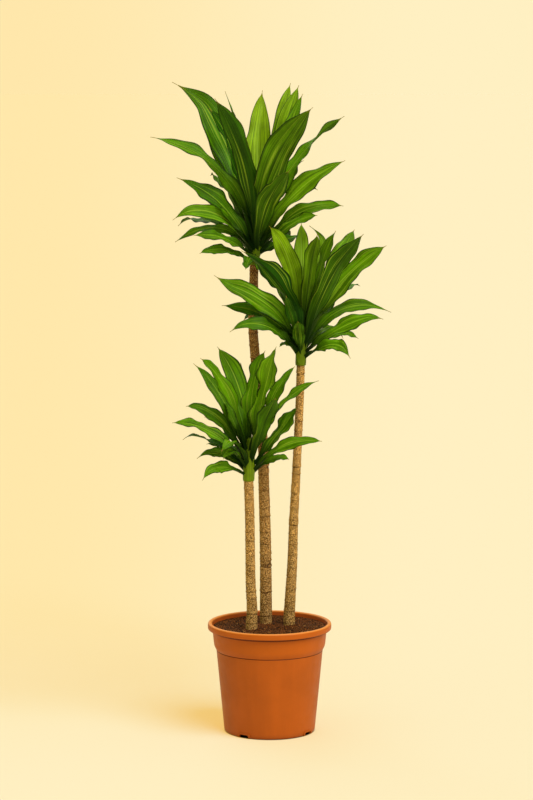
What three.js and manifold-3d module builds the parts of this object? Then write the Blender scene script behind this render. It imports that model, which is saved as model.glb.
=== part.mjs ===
// Potted corn plant: three bare canes of different heights in a plastic grow pot, each with a head of
// broad waved leaves. Millimetres, +Z up, seen from the -Y side. The origin is the middle of the
// pot's underside.

import * as THREE from 'three';
import { mergeVertices } from 'three/addons/utils/BufferGeometryUtils.js';
import Module from 'manifold-3d';

const wasm = await Module();
wasm.setup();

// ---------------------------------------------------------------- driving dimensions

const POT = {
  height: 212.5,
  lipRadius: 120, // a 24 cm pot
  lipTopRadius: 116,
  lipInnerRadius: 112,
  lipBottom: 200, // height of the lip's lower edge
  lipCorner: 2,
  lipRound: 6, // how far down from the top the lip's round goes
  lipInnerDrop: 4,
  bandTopRadius: 111, // shoulder band under the lip
  bandTop: 198.5,
  bandFootRadius: 108,
  bandFoot: 168.5,
  bodyTopRadius: 103, // below the step under the band
  bodyTop: 158,
  stepEase: 5, // how gently the step starts and ends
  footRadius: 88,
  footCorner: 5,
  wall: 2.4,
  floor: 3,
  sides: 36,
};
const NOTCH = { count: 4, width: 21, height: 7, corner: 3, depth: 14, proud: 4, firstAngle: -34 };
const SOIL = { level: 202.5, edgeRise: 1.5, wave: 1.2, lump: 15, rings: 4 };
const GAP = 0.3; // clearance between pieces that rest on each other
const FINEST = 0.05; // smaller slivers are left out where blades meet
const PLANTED = 74; // height of the canes' buried ends

// Canes: radius at the soil and at the top, how soon they slim down (1 is evenly, higher is sooner),
// and points on the centre line from the soil up.
const CANES = {
  cane_low: {
    radius: 11.4,
    topRadius: 9.2,
    flare: 4,
    line: [[-35, -14, 202], [-34, -13, 240], [-36.6, -11, 293], [-37.5, -9, 356],
      [-38.3, -7, 417], [-40.4, -4, 490]],
  },
  cane_middle: {
    radius: 11.4,
    topRadius: 7.9,
    flare: 2.5,
    line: [[38, 27, 202], [40, 27, 250], [44.5, 28, 330], [46.5, 29, 400], [51, 30, 485],
      [55.5, 31, 580], [58.4, 32, 647], [60, 32, 710]],
  },
  cane_tall: {
    radius: 11.9,
    topRadius: 8.4,
    flare: 1,
    line: [[-7, 40, 202], [-8, 42, 356], [-11.4, 44, 485], [-12, 45, 540], [-20, 47, 640],
      [-28, 48, 726], [-32, 49, 784], [-31, 50, 850], [-30, 50, 903]],
  },
};
const CANE = { sides: 10, scarPitch: 34, scarRise: 0.45 };

// A leaf blade: how its width, fold and waves run from base (0) to tip (1).
const BLADE = {
  thickness: 0.9,
  steps: 6,
  crowding: 0.82, // below 1 the steps crowd towards the tip, where the waves show
  baseWidth: 0.45, // share of the full width where it clasps the shoot
  widest: 0.62, // the blade reaches its full width this far along
  tipPower: 8, // higher keeps the blade wide for longer before its tip
  tipEase: 1.1, // higher draws the tip out finer
  threadFrom: 0.975, // from here on the tip is a thread
  baseFold: 60, // degrees that each half folds up at the base
  outerFold: 13,
  foldBy: 0.5, // the fold has opened this far along
  turnBy: 0.35, // the blade has turned to its own face this far along
  wave: 0.15, // height of the edge waves, as a share of the width
  waves: 2.3,
  edgeShift: 1.3, // how far the two edges' waves are out of step
  bulge: 0.1, // how much the waves widen and narrow the blade
  bulgeShift: 1.2,
  phaseStep: 1.7, // each leaf's waves start this much later than those of the leaf before
  tipWidth: 1.6,
  hookFrom: 0.82,
  rootDepth: 0.5, // the base starts this share of the shoot's radius off its axis
  rootShare: 0.6, // and at this share of the height where the blade leaves the shoot
};

// Leaves, from the head's foot: height where it leaves the shoot, middle of the blade (x y z), tip
// (x y z), width, turn and twist in degrees, and for a hooked tip how far its end bends over (x z).
const HEADS = {
  crown_low: {
    stem: { height: 84, radius: 11.6, topRadius: 5, lean: 2 },
    leaves: [
      [62, -46, 22, 147, -97, 48, 214, 27, -50, 0, -10, 8],
      [72, -38, -20, 170, -91, -48, 242, 32, -65, 0],
      [75, -14, 24, 163, -61, 56, 254, 42, -40, 0],
      [70, -4, 40, 147, -16, 84, 220, 14, 40, 0],
      [74, 6, 14, 164, 32, 22, 250, 40, 10, 0],
      [70, 27, -15, 168, 53, -25, 262, 52, 62, 0],
      [66, 44, 4, 153, 89, 4, 221, 26, 50, 0],
      [55, 30, -45, 116, 52, -80, 170, 36, -10, 0],
      [58, 55, -30, 142, 134, -45, 199, 25, 60, -30],
      [45, 59, -14, 97, 93, -24, 146, 33, 55, 0],
      [28, 68, -25, 71, 140, -40, 82, 25, 60, 0],
      [20, 46, 5, 42, 78, 10, 40, 16, 50, 0],
      [55, -58, 20, 117, -121, 30, 141, 27, -50, 0],
      [45, -71, -15, 97, -146, -20, 115, 27, -60, 30],
      [35, -43, 25, 62, -82, 45, 65, 17, -45, 0],
      [28, -50, 10, 51, -92, 15, 49, 21, -55, 0, -8, -8],
      [18, -49, -35, 32, -84, -58, 19, 25, -55, 0, -4, -10],
      [45, -24, -50, 80, -51, -80, 68, 26, -20, 0],
      [34, -30, -30, 62, -48, -60, 50, 23, -40, 0],
    ],
    back: { count: 5, length: 148, from: 98, to: 168 },
  },
  crown_middle: {
    stem: { height: 106, radius: 10.8, topRadius: 5, lean: 3 },
    leaves: [
      [90, -18, -14, 187, -61, -34, 270, 38, -110, 0],
      [90, 2, 38, 181, 2, 88, 271, 31, 0, 0],
      [92, 16, -38, 181, 30, -88, 257, 30, 0, 0],
      [88, 35, 26, 178, 45, 58, 256, 20, 20, 0, -28, 10],
      [88, 35, -16, 182, 66, -38, 261, 27, 70, 0],
      [86, 63, 30, 181, 105, 68, 258, 38, 45, 0],
      [50, 52, -44, 165, 117, -92, 258, 40, -38, 0],
      [70, 79, 0, 160, 164, -5, 231, 41, 60, 0],
      [45, 72, 25, 103, 164, 40, 107, 27, 55, 0, 12, -8],
      [38, 77, -30, 76, 151, -45, 101, 31, 60, 0, 6, -8],
      [30, 61, 35, 58, 113, 60, 46, 20, 50, 0],
      [22, 54, -40, 44, 89, -62, 31, 28, 55, 0, 5, -12],
      [58, -64, -32, 120, -160, -45, 163, 44, -74, 0, -6, 14],
      [46, -62, -20, 94, -152, -18, 117, 30, -55, 0],
      [34, -61, -40, 78, -130, -65, 80, 30, -55, 0, -6, -10],
      [24, -24, -12, 42, -41, -16, 37, 14, -30, 0],
      [60, -32, -50, 151, -114, -80, 226, 46, 25, 0],
      [62, -17, -45, 95, -29, -75, 140, 20, 10, 0],
      [30, -4, -28, 60, -6, -52, 89, 26, 0, 0],
    ],
    back: { count: 7, length: 190, from: 22, to: 140 },
  },
  crown_tall: {
    stem: { height: 76, radius: 9.6, topRadius: 4.5, lean: 8 },
    leaves: [
      [55, -46, 28, 212, -123, 60, 342, 58, -48, -10, -36, 8],
      [57, -36, -30, 205, -84, -70, 300, 30, -75, 0],
      [60, -41, 26, 153, -94, 60, 256, 26, -55, 0],
      [41, -16, -52, 190, -73, -110, 319, 42, 20, 0],
      [60, -21, 48, 208, -57, 110, 332, 18, 62, 0],
      [51, 5, 46, 189, 16, 110, 334, 50, 0, 0],
      [60, 41, 44, 223, 71, 100, 348, 30, 40, 0],
      [60, 46, 30, 219, 87, 70, 344, 34, 50, 0],
      [58, 52, 18, 210, 94, 40, 327, 27, 60, 0],
      [55, 29, -52, 176, 113, -110, 310, 58, -40, 0, -2, -8],
      [41, 24, -58, 115, 68, -125, 186, 44, -20, 0],
      [50, 66, -15, 179, 173, -10, 285, 38, 215, -290],
      [45, 73, -25, 133, 174, -35, 201, 41, 60, 0],
      [38, 83, 0, 98, 172, 0, 113, 32, 55, 0],
      [32, 68, -25, 77, 121, -45, 97, 24, 60, 0],
      [26, 43, 50, 38, 89, 95, 52, 25, 30, 0],
      [41, -63, -10, 177, -199, 5, 245, 36, -60, 40],
      [37, -58, -15, 113, -134, -20, 162, 38, -60, 0, -14, 6],
      [31, -67, -25, 96, -150, -45, 98, 30, -50, -40, -5, -10],
      [27, -66, 20, 69, -153, 28, 42, 21, -60, 20],
      [25, -54, -50, 53, -114, -90, 61, 25, -50, 0],
      [8, -56, -40, 31, -103, -70, 26, 20, -60, 0],
      [22, -8, -28, 14, -16, -50, -6, 26, 0, 0],
      [14, 10, -25, 4, 22, -38, -24, 22, 0, 0],
    ],
    back: { count: 8, length: 220, from: 30, to: 150 },
  },
};

// ---------------------------------------------------------------- materials

function finish(color, roughness) {
  return new THREE.MeshStandardMaterial({ color, roughness, metalness: 0 });
}

const materials = {
  potPlastic: finish(0xb85a24, 0.45),
  soil: finish(0x3a2415, 0.95),
  bark: finish(0xa98552, 0.85),
  leaf: finish(0x3f7d1a, 0.4),
};

// ---------------------------------------------------------------- solids

const SCRAMBLE = [12.9898, 43758.5453]; // any two such numbers give an uneven sequence
const rad = THREE.MathUtils.degToRad;
const { lerp, smoothstep } = THREE.MathUtils;

// A closed geometry as a solid that can be joined or cut.
function solid(geometry) {
  const bare = geometry.clone();
  bare.deleteAttribute('normal');
  bare.deleteAttribute('uv');
  const merged = mergeVertices(bare, 1e-4);
  return new wasm.Manifold(new wasm.Mesh({
    numProp: 3,
    vertProperties: new Float32Array(merged.attributes.position.array),
    triVerts: new Uint32Array(merged.index.array),
  }));
}

function geometryOf(body) {
  const mesh = body.getMesh();
  const geometry = new THREE.BufferGeometry();
  geometry.setAttribute('position', new THREE.BufferAttribute(mesh.vertProperties, 3));
  geometry.setIndex(new THREE.BufferAttribute(mesh.triVerts, 1));
  return geometry;
}

// Joins solids into the one body they grew as: loose scraps and sealed pockets are left out.
function grownTogether(solids) {
  const joined = solids.reduce((whole, next) => whole.add(next)).simplify(FINEST);
  return joined.decompose().reduce((a, b) => (a.volume() > b.volume() ? a : b));
}

// A value between 0 and 1 that is always the same for the same seed.
function drawn(seed) {
  const value = Math.sin(seed * SCRAMBLE[0]) * SCRAMBLE[1];
  return value - Math.floor(value);
}

// A turned shape standing on +Z, from an outline of radius and height that goes up its outside.
function turned(points, sides) {
  return new THREE.LatheGeometry(points, sides).rotateX(Math.PI / 2);
}

// ---------------------------------------------------------------- pot

// The S-shaped step between the body and the shoulder band, on a wall that is inset by some amount.
function stepUp(path, inset) {
  path.lineTo(POT.bodyTopRadius - inset, POT.bodyTop);
  path.bezierCurveTo(
    POT.bodyTopRadius - inset + 0.1 * POT.stepEase, POT.bodyTop + POT.stepEase,
    POT.bandFootRadius - inset - 0.1 * POT.stepEase, POT.bandFoot - POT.stepEase,
    POT.bandFootRadius - inset, POT.bandFoot,
  );
  path.lineTo(POT.bandTopRadius - inset, POT.bandTop);
}

// The pot's inner wall from the middle of its floor up to a level, held off it by a gap.
function innerWall(gap, level) {
  const inset = POT.wall + gap;
  const floor = POT.floor + gap;
  const top = POT.height - POT.lipInnerDrop;
  const share = (level - POT.bandTop) / (top - POT.bandTop);
  const path = new THREE.Path();
  path.moveTo(0, floor);
  path.lineTo(POT.footRadius - inset - POT.footCorner, floor);
  path.quadraticCurveTo(
    POT.footRadius - inset, floor, POT.footRadius - inset + 0.1 * POT.footCorner, floor + POT.footCorner,
  );
  stepUp(path, inset);
  path.lineTo(lerp(POT.bandTopRadius - inset, POT.lipInnerRadius - gap, share), level);
  return path.getPoints(2);
}

function potOutline() {
  const outside = new THREE.Path();
  outside.moveTo(0, 0);
  outside.lineTo(POT.footRadius - POT.footCorner, 0);
  outside.quadraticCurveTo(POT.footRadius, 0, POT.footRadius + 0.1 * POT.footCorner, POT.footCorner);
  stepUp(outside, 0);
  outside.lineTo(POT.lipRadius - POT.lipCorner, POT.lipBottom);
  outside.quadraticCurveTo(
    POT.lipRadius, POT.lipBottom, POT.lipRadius, POT.height - POT.lipRound,
  );
  outside.quadraticCurveTo(POT.lipRadius, POT.height, POT.lipTopRadius, POT.height);
  outside.quadraticCurveTo(
    POT.lipInnerRadius, POT.height, POT.lipInnerRadius, POT.height - POT.lipInnerDrop,
  );
  const up = outside.getPoints(3);
  const down = innerWall(0, POT.height - POT.lipInnerDrop).reverse().slice(1);
  return [...up, ...down, up[0].clone()];
}

// A drain notch through the foot of the wall: a low arch pushed in from outside.
function notchCutter(angle) {
  const half = NOTCH.width / 2;
  const flat = half - NOTCH.corner;
  const shoulder = NOTCH.height - NOTCH.corner;
  const arch = new THREE.Shape();
  arch.moveTo(-half, -NOTCH.corner);
  arch.lineTo(half, -NOTCH.corner);
  arch.lineTo(half, shoulder);
  arch.quadraticCurveTo(half, NOTCH.height, flat, NOTCH.height);
  arch.lineTo(-flat, NOTCH.height);
  arch.quadraticCurveTo(-half, NOTCH.height, -half, shoulder);
  arch.closePath();
  const cutter = new THREE.ExtrudeGeometry(arch, {
    depth: NOTCH.depth, bevelEnabled: false, curveSegments: 2,
  });
  cutter.rotateX(Math.PI / 2);
  cutter.translate(0, NOTCH.depth - NOTCH.proud - POT.footRadius, 0);
  cutter.rotateZ(angle);
  return cutter;
}

function potGeometry() {
  let pot = solid(turned(potOutline(), POT.sides));
  for (let i = 0; i < NOTCH.count; i += 1) {
    const angle = rad(NOTCH.firstAngle + (i * 360) / NOTCH.count);
    pot = pot.subtract(solid(notchCutter(angle)));
  }
  return geometryOf(pot);
}

// ---------------------------------------------------------------- canes

// A woody stem: a turned stick with raised leaf scars, bent along its centre line. Its buried end
// is plain and goes straight down.
function caneSolid(cane) {
  const foot = cane.line[0];
  const curve = new THREE.CatmullRomCurve3(cane.line.map((p) => new THREE.Vector3(...p)));
  const steps = Math.round(curve.getLength() / CANE.scarPitch) * 2;
  const buried = (PLANTED - foot[2]) / curve.getLength();
  const profile = [new THREE.Vector2(0, buried), new THREE.Vector2(cane.radius, buried)];
  for (let i = 0; i <= steps; i += 1) {
    const scar = i % 2 ? CANE.scarRise : 0;
    const radius = lerp(cane.topRadius, cane.radius, (1 - i / steps) ** cane.flare) + scar;
    profile.push(new THREE.Vector2(radius, i / steps));
  }
  profile.push(new THREE.Vector2(0, 1));
  const stick = turned(profile, CANE.sides);
  const place = stick.attributes.position;
  for (let i = 0; i < place.count; i += 1) {
    const share = place.getZ(i);
    const centre = curve.getPoint(THREE.MathUtils.clamp(share, 0, 1));
    const height = share < buried / 2 ? PLANTED : centre.z;
    place.setXYZ(i, place.getX(i) + centre.x, place.getY(i) + centre.y, height);
  }
  return solid(stick);
}

// The plain hole that a cane stands in, with a gap all round its buried end.
function caneHole(cane) {
  const [x, y, top] = cane.line[0];
  const length = top + SOIL.wave * 4 - PLANTED;
  const hole = new THREE.CylinderGeometry(
    cane.radius + CANE.scarRise + GAP * 2, cane.radius + CANE.scarRise + GAP * 2, length, CANE.sides,
  );
  hole.rotateX(Math.PI / 2);
  return solid(hole.translate(x, y, PLANTED - GAP + length / 2));
}

// ---------------------------------------------------------------- soil

function soilGeometry() {
  const edge = innerWall(GAP, SOIL.level + SOIL.edgeRise);
  const rim = edge[edge.length - 1].x;
  for (let i = 1; i < SOIL.rings; i += 1) {
    edge.push(new THREE.Vector2(rim * (1 - i / SOIL.rings), SOIL.level));
  }
  edge.push(new THREE.Vector2(0, SOIL.level));
  const filling = turned(edge, POT.sides);
  const place = filling.attributes.position;
  for (let i = 0; i < place.count; i += 1) {
    const x = place.getX(i);
    const y = place.getY(i);
    if (place.getZ(i) > SOIL.level - 0.1 && Math.hypot(x, y) < rim - 1) {
      place.setZ(i, SOIL.level + SOIL.wave * Math.sin(x / SOIL.lump) * Math.cos(y / SOIL.lump));
    }
  }
  return Object.values(CANES).reduce(
    (soil, cane) => soil.subtract(caneHole(cane)),
    solid(filling),
  );
}

// ---------------------------------------------------------------- leaves

// The frame of a blade at v, from 0 at its base to 1 at its tip: the point on the midrib, the way
// across the blade and the way out of its upper face.
function midrib(leaf, v) {
  const bend = leaf.middle.clone().multiplyScalar(2)
    .addScaledVector(leaf.root, -0.5)
    .addScaledVector(leaf.tip, -0.5);
  const past = Math.max(0, (v - BLADE.hookFrom) / (1 - BLADE.hookFrom));
  const point = leaf.root.clone().multiplyScalar((1 - v) ** 2)
    .addScaledVector(bend, 2 * v * (1 - v))
    .addScaledVector(leaf.tip, v * v)
    .addScaledVector(leaf.hook, past * past);
  const along = bend.clone().sub(leaf.root).multiplyScalar(2 * (1 - v))
    .addScaledVector(leaf.tip.clone().sub(bend), 2 * v)
    .addScaledVector(leaf.hook, (2 * past) / (1 - BLADE.hookFrom))
    .normalize();
  const out = leaf.tip.clone().sub(leaf.root).setZ(0).normalize();
  const across = new THREE.Vector3(-out.y, out.x, 0);
  across.addScaledVector(along, -across.dot(along)).normalize();
  const up = along.clone().cross(across);
  const turn = leaf.turn * smoothstep(v, 0, BLADE.turnBy) + leaf.twist * v;
  return {
    point,
    across: across.clone().multiplyScalar(Math.cos(turn)).addScaledVector(up, Math.sin(turn)),
    up: up.multiplyScalar(Math.cos(turn)).addScaledVector(across, -Math.sin(turn)),
  };
}

// A point of the blade: v along it, u from -1 at one edge to 1 at the other, face 1 on its upper
// side and -1 on its underside.
function bladePoint(leaf, u, v, face) {
  const { point, across, up } = midrib(leaf, v);
  const opening = lerp(BLADE.baseWidth, 1, smoothstep(v, -0.05, BLADE.widest));
  const bladeShare = Math.min(1, v / BLADE.threadFrom);
  const taper = (1 - bladeShare ** BLADE.tipPower) ** BLADE.tipEase;
  const phase = leaf.phase + u * BLADE.edgeShift;
  const ripple = Math.sin(2 * Math.PI * BLADE.waves * v + phase);
  const swell = Math.sin(2 * Math.PI * BLADE.waves * v + phase + BLADE.bulgeShift);
  const width = leaf.width * opening * taper * (1 + BLADE.bulge * swell);
  const half = Math.max(BLADE.tipWidth, width) / 2;
  const fold = rad(lerp(BLADE.baseFold, BLADE.outerFold, smoothstep(v, 0, BLADE.foldBy)));
  const wave = BLADE.wave * leaf.width * ripple * smoothstep(v, 0, BLADE.turnBy) * taper;
  const lift = (Math.abs(u) - 0.5) * half * Math.sin(fold) + wave * Math.abs(u);
  const tilt = Math.sign(u) * fold;
  return point
    .addScaledVector(across, u * half * Math.cos(fold))
    .addScaledVector(up, lift)
    .addScaledVector(up, face * (BLADE.thickness / 2) * Math.cos(tilt))
    .addScaledVector(across, -face * (BLADE.thickness / 2) * Math.sin(tilt));
}

// A blade as a closed solid. Both faces are split into triangles the same way.
function bladeSolid(leaf) {
  const rows = [-1, 0, 1];
  const place = [];
  const index = [];
  for (let step = 0; step <= BLADE.steps; step += 1) {
    for (const face of [1, -1]) {
      for (const u of rows) {
        const v = (step / BLADE.steps) ** BLADE.crowding;
        place.push(...bladePoint(leaf, u, v, face).toArray());
      }
    }
  }
  const at = (step, face, row) => step * 6 + face * 3 + row;
  const quad = (a, b, c, d) => index.push(a, b, c, a, c, d);
  for (let step = 0; step < BLADE.steps; step += 1) {
    for (let row = 0; row < 2; row += 1) {
      const low = [at(step, 0, row), at(step, 0, row + 1)];
      const high = [at(step + 1, 0, row), at(step + 1, 0, row + 1)];
      index.push(low[0], high[1], low[1], low[0], high[0], high[1]);
      index.push(low[0] + 3, low[1] + 3, high[1] + 3, low[0] + 3, high[1] + 3, high[0] + 3);
    }
    quad(at(step, 0, 0), at(step, 1, 0), at(step + 1, 1, 0), at(step + 1, 0, 0));
    quad(at(step, 0, 2), at(step + 1, 0, 2), at(step + 1, 1, 2), at(step, 1, 2));
  }
  for (let row = 0; row < 2; row += 1) {
    quad(at(0, 0, row), at(0, 0, row + 1), at(0, 1, row + 1), at(0, 1, row));
    const end = BLADE.steps;
    quad(at(end, 0, row), at(end, 1, row), at(end, 1, row + 1), at(end, 0, row + 1));
  }
  const geometry = new THREE.BufferGeometry();
  geometry.setAttribute('position', new THREE.BufferAttribute(new Float32Array(place), 3));
  geometry.setIndex(index);
  return solid(geometry);
}

// The green shoot on top of a cane, from its flat foot up: share of its height, and how thick it is
// there, from 0 as at its top to 1 as at its thickest.
const SHOOT_OUTLINE = [[0, 0.85], [0.06, 1], [0.35, 0.9], [0.7, 0.5], [0.94, 0], [1, -0.4]];

function stemSolid(stem) {
  const profile = [new THREE.Vector2(0, GAP)];
  for (const [height, thickness] of SHOOT_OUTLINE) {
    const radius = lerp(stem.topRadius, stem.radius, thickness);
    profile.push(new THREE.Vector2(radius, Math.max(GAP, height * stem.height)));
  }
  profile.push(new THREE.Vector2(0, stem.height));
  const shoot = turned(profile, CANE.sides);
  const place = shoot.attributes.position;
  for (let i = 0; i < place.count; i += 1) {
    const height = place.getZ(i);
    place.setX(i, place.getX(i) + shootLean(stem, height).x);
  }
  return solid(shoot);
}

const STEM_BENDS_BY = 0.6; // share of its height over which a shoot leans over

// Where the shoot's axis is at a height above its foot.
function shootLean(stem, height) {
  const share = smoothstep(height, 0, stem.height * STEM_BENDS_BY);
  return new THREE.Vector3(stem.lean * share, 0, height);
}

// Where a blade starts: inside the shoot's skin, on the side that the blade leaves by.
function bladeRoot(stem, height, tip) {
  const side = new THREE.Vector3(tip.x, tip.y, 0).normalize();
  const foot = height * BLADE.rootShare;
  const radius = lerp(stem.radius, stem.topRadius, foot / stem.height);
  return shootLean(stem, foot).addScaledVector(side, radius * BLADE.rootDepth);
}

function listedLeaf(row, stem, phase) {
  const [rootHeight, mx, my, mz, tx, ty, tz, width, turn, twist, hookX = 0, hookZ = 0] = row;
  const tip = new THREE.Vector3(tx, ty, tz);
  return {
    root: bladeRoot(stem, rootHeight, tip),
    middle: new THREE.Vector3(mx, my, mz),
    tip,
    hook: new THREE.Vector3(hookX, 0, hookZ),
    width,
    turn: rad(turn),
    twist: rad(twist),
    phase,
  };
}

// Leaves on the far side of a head: they fan out by the golden section, the lower ones flatter and
// more arched. Each pair of values is for the lowest and the highest of them.
const BACK = {
  step: 0.618,
  firstStep: 0.31,
  climb: [4, 72], // degrees above level
  rootShare: [0.3, 0.85], // of the shoot's height
  lengthShare: [0.8, 1],
  arch: [0.17, 0.06], // share of the length that the middle stands above the chord
  middle: 0.52,
  slimness: [0.15, 0.18], // width over length, drawn for each leaf
  turn: 25,
  droop: 8,
};

function backLeaf(head, number, phase) {
  const { stem, back } = head;
  const rise = (number + 0.5) / back.count;
  const way = rad(lerp(back.from, back.to, (number * BACK.step + BACK.firstStep) % 1));
  const climb = rad(lerp(...BACK.climb, rise));
  const length = back.length * lerp(...BACK.lengthShare, Math.sin(Math.PI * rise));
  const reach = new THREE.Vector3(
    Math.cos(way) * Math.cos(climb), Math.sin(way) * Math.cos(climb), Math.sin(climb),
  ).multiplyScalar(length);
  const root = bladeRoot(stem, stem.height * lerp(...BACK.rootShare, rise), reach);
  const middle = root.clone().addScaledVector(reach, BACK.middle);
  middle.z += length * lerp(...BACK.arch, rise);
  return {
    root,
    middle,
    tip: root.clone().add(reach),
    hook: new THREE.Vector3(0, 0, -BACK.droop),
    width: length * lerp(...BACK.slimness, drawn(phase)),
    turn: rad(BACK.turn * lerp(-1, 1, drawn(phase + 1))),
    twist: 0,
    phase,
  };
}

function headGeometry(head, first) {
  const leaves = head.leaves.map((row, i) => listedLeaf(row, head.stem, first + i * BLADE.phaseStep));
  for (let i = 0; i < head.back.count; i += 1) {
    leaves.push(backLeaf(head, i, first + leaves.length * BLADE.phaseStep));
  }
  return geometryOf(grownTogether([stemSolid(head.stem), ...leaves.map(bladeSolid)]));
}

// ---------------------------------------------------------------- the plant

function piece(name, geometry, material) {
  const mesh = new THREE.Mesh(geometry, material);
  mesh.name = name;
  return mesh;
}

const plant = new THREE.Group();
plant.add(piece('pot', potGeometry(), materials.potPlastic));
plant.add(piece('soil', geometryOf(soilGeometry()), materials.soil));
for (const [name, cane] of Object.entries(CANES)) {
  plant.add(piece(name, geometryOf(caneSolid(cane)), materials.bark));
}
const carriers = { crown_low: 'cane_low', crown_middle: 'cane_middle', crown_tall: 'cane_tall' };
Object.entries(HEADS).forEach(([name, head], order) => {
  const crown = piece(name, headGeometry(head, order), materials.leaf);
  crown.position.set(...CANES[carriers[name]].line.at(-1));
  plant.add(crown);
});

export default plant;
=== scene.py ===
# %% [markdown]
# # A potted corn plant
#
# Three bare woody canes of different heights stand in a plastic grow pot, and each one carries a
# head of broad waved leaves. The solid model already has the sizes and the places. Here each of its
# pieces is made again with a fine surface and its own finish, in metres, with +Z up.

import math

import bmesh
import bpy
from mathutils import Matrix, Vector, noise


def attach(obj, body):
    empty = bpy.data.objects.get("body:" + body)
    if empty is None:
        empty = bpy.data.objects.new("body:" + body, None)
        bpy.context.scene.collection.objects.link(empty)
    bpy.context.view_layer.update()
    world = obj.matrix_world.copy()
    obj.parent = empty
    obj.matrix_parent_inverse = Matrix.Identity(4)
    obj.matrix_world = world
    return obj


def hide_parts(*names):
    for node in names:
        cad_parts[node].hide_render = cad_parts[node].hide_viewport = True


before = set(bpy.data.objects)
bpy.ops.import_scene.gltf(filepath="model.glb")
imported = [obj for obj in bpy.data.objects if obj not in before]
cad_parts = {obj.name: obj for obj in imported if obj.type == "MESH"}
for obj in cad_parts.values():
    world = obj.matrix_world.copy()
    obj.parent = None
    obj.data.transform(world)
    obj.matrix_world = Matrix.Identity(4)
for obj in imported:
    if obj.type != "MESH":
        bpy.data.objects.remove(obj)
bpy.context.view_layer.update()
MM = 0.001  # a millimetre, in metres


def in_scene(name, data):
    """A new object with its data, put in the scene."""
    thing = bpy.data.objects.new(name, data)
    bpy.context.scene.collection.objects.link(thing)
    return thing


# %% [markdown]
# ## The camera
#
# A long lens from five metres away keeps the pot's rim a flat ellipse, as in the photograph, and
# looks down on it by only a few degrees. The angle was found by laying the solid model over the
# picture until the rim, the canes and the leaf tips agreed.

# %% Camera
CAMERA_PLACE = (-0.006, -5.0, 1.234)
CAMERA_DIPS = math.radians(6.705)
CAMERA_LENS = 117.94  # focal length in millimetres, on a sensor 36 mm wide
CAMERA_SEES = 4000  # metres, past the corners of the floor
lens = bpy.data.cameras.new("camera")
lens.lens = CAMERA_LENS
lens.clip_end = CAMERA_SEES
camera = in_scene("camera", lens)
camera.location = CAMERA_PLACE
camera.rotation_euler = (math.radians(90) - CAMERA_DIPS, 0, 0)
bpy.context.scene.camera = camera
print("camera looks down by", round(math.degrees(CAMERA_DIPS), 2), "degrees")

# %% [markdown]
# ## Sums in node trees
#
# Geometry and shader trees do their sums with a node for each plus or times, which is slow to write
# and hard to read. A small wrapper round an output socket lets a formula be written as Python, and
# each sign adds the node that works it out. Vectors and plain numbers choose their own kind of node.


# %% A socket that can be reckoned with
def is_vector(value):
    """Tells a vector, or a socket that gives one, from a plain number."""
    if isinstance(value, Field):
        return value.socket.type in ("VECTOR", "RGBA")
    return isinstance(value, (tuple, Vector))


def plug(socket, value):
    """Links a field to a node's input, or writes a plain value in it."""
    if isinstance(value, Field):
        socket.node.id_data.links.new(value.socket, socket)
    elif value is not None:
        socket.default_value = value


def reckon(tree, operation, *values):
    """Adds one math node and returns what it gives."""
    vector = any(is_vector(v) for v in values)
    node = tree.nodes.new("ShaderNodeVectorMath" if vector else "ShaderNodeMath")
    if vector and operation == "MULTIPLY" and not all(is_vector(v) for v in values):
        node.operation = "SCALE"
        direction, size = sorted(values, key=is_vector, reverse=True)
        plug(node.inputs[0], direction)
        plug(node.inputs["Scale"], size)
        return Field(node.outputs[0])
    node.operation = operation
    for socket, value in zip(node.inputs, values):
        plug(socket, value)
    plain = operation in ("DOT_PRODUCT", "LENGTH")
    return Field(node.outputs["Value" if plain else 0])


class Field:
    """A socket's output. Sums made with it become nodes."""

    def __init__(self, socket):
        self.socket = socket
        self.tree = socket.node.id_data

    def do(self, operation, *values):
        return reckon(self.tree, operation, self, *values)

    def __add__(self, other):
        return self.do("ADD", other)

    def __sub__(self, other):
        return self.do("SUBTRACT", other)

    def __rsub__(self, other):
        return reckon(self.tree, "SUBTRACT", other, self)

    def __mul__(self, other):
        return self.do("MULTIPLY", other)

    def __truediv__(self, other):
        return self.do("DIVIDE", other)

    def __pow__(self, other):
        return self.do("POWER", other)

    __radd__ = __add__
    __rmul__ = __mul__


# %% Nodes in one line
def place(tree, kind, inputs=None, **settings):
    """Adds a node, sets its options, and fills its inputs by name or number."""
    node = tree.nodes.new(kind)
    for name, value in settings.items():
        setattr(node, name, value)
    for name, value in (inputs or {}).items():
        plug(node.inputs[name], value)
    return node


def out(node, name=0):
    return Field(node.outputs[name])


def split(tree, vector):
    """The node that gives a vector's X, Y and Z."""
    return place(tree, "ShaderNodeSeparateXYZ", {0: vector})


def xyz(tree, **parts):
    return out(place(tree, "ShaderNodeCombineXYZ", parts))


def eased(value, start, end, low=0.0, high=1.0):
    """Goes smoothly from low to high as the value goes from start to end."""
    ends = {"From Min": start, "From Max": end, "To Min": low, "To Max": high}
    return out(place(value.tree, "ShaderNodeMapRange", {"Value": value, **ends},
                     interpolation_type="SMOOTHSTEP"))


def noise_at(tree, where, scale, **more):
    """Soft noise between 0 and 1, mostly near a half."""
    return out(place(tree, "ShaderNodeTexNoise", {"Vector": where, "Scale": scale, **more}), "Fac")


def new_tree(name, kind, inputs, outputs):
    """A node group with its named inputs and outputs, the node that reads the inputs and the last."""
    tree = bpy.data.node_groups.new(name, kind)
    for side, sockets in (("INPUT", inputs), ("OUTPUT", outputs)):
        for label, (socket_kind, value) in sockets.items():
            socket = tree.interface.new_socket(
                label, in_out=side, socket_type="NodeSocket" + socket_kind
            )
            if value is not None:
                socket.default_value = value
    return tree, tree.nodes.new("NodeGroupInput"), tree.nodes.new("NodeGroupOutput")


print("node helpers are ready")

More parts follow.
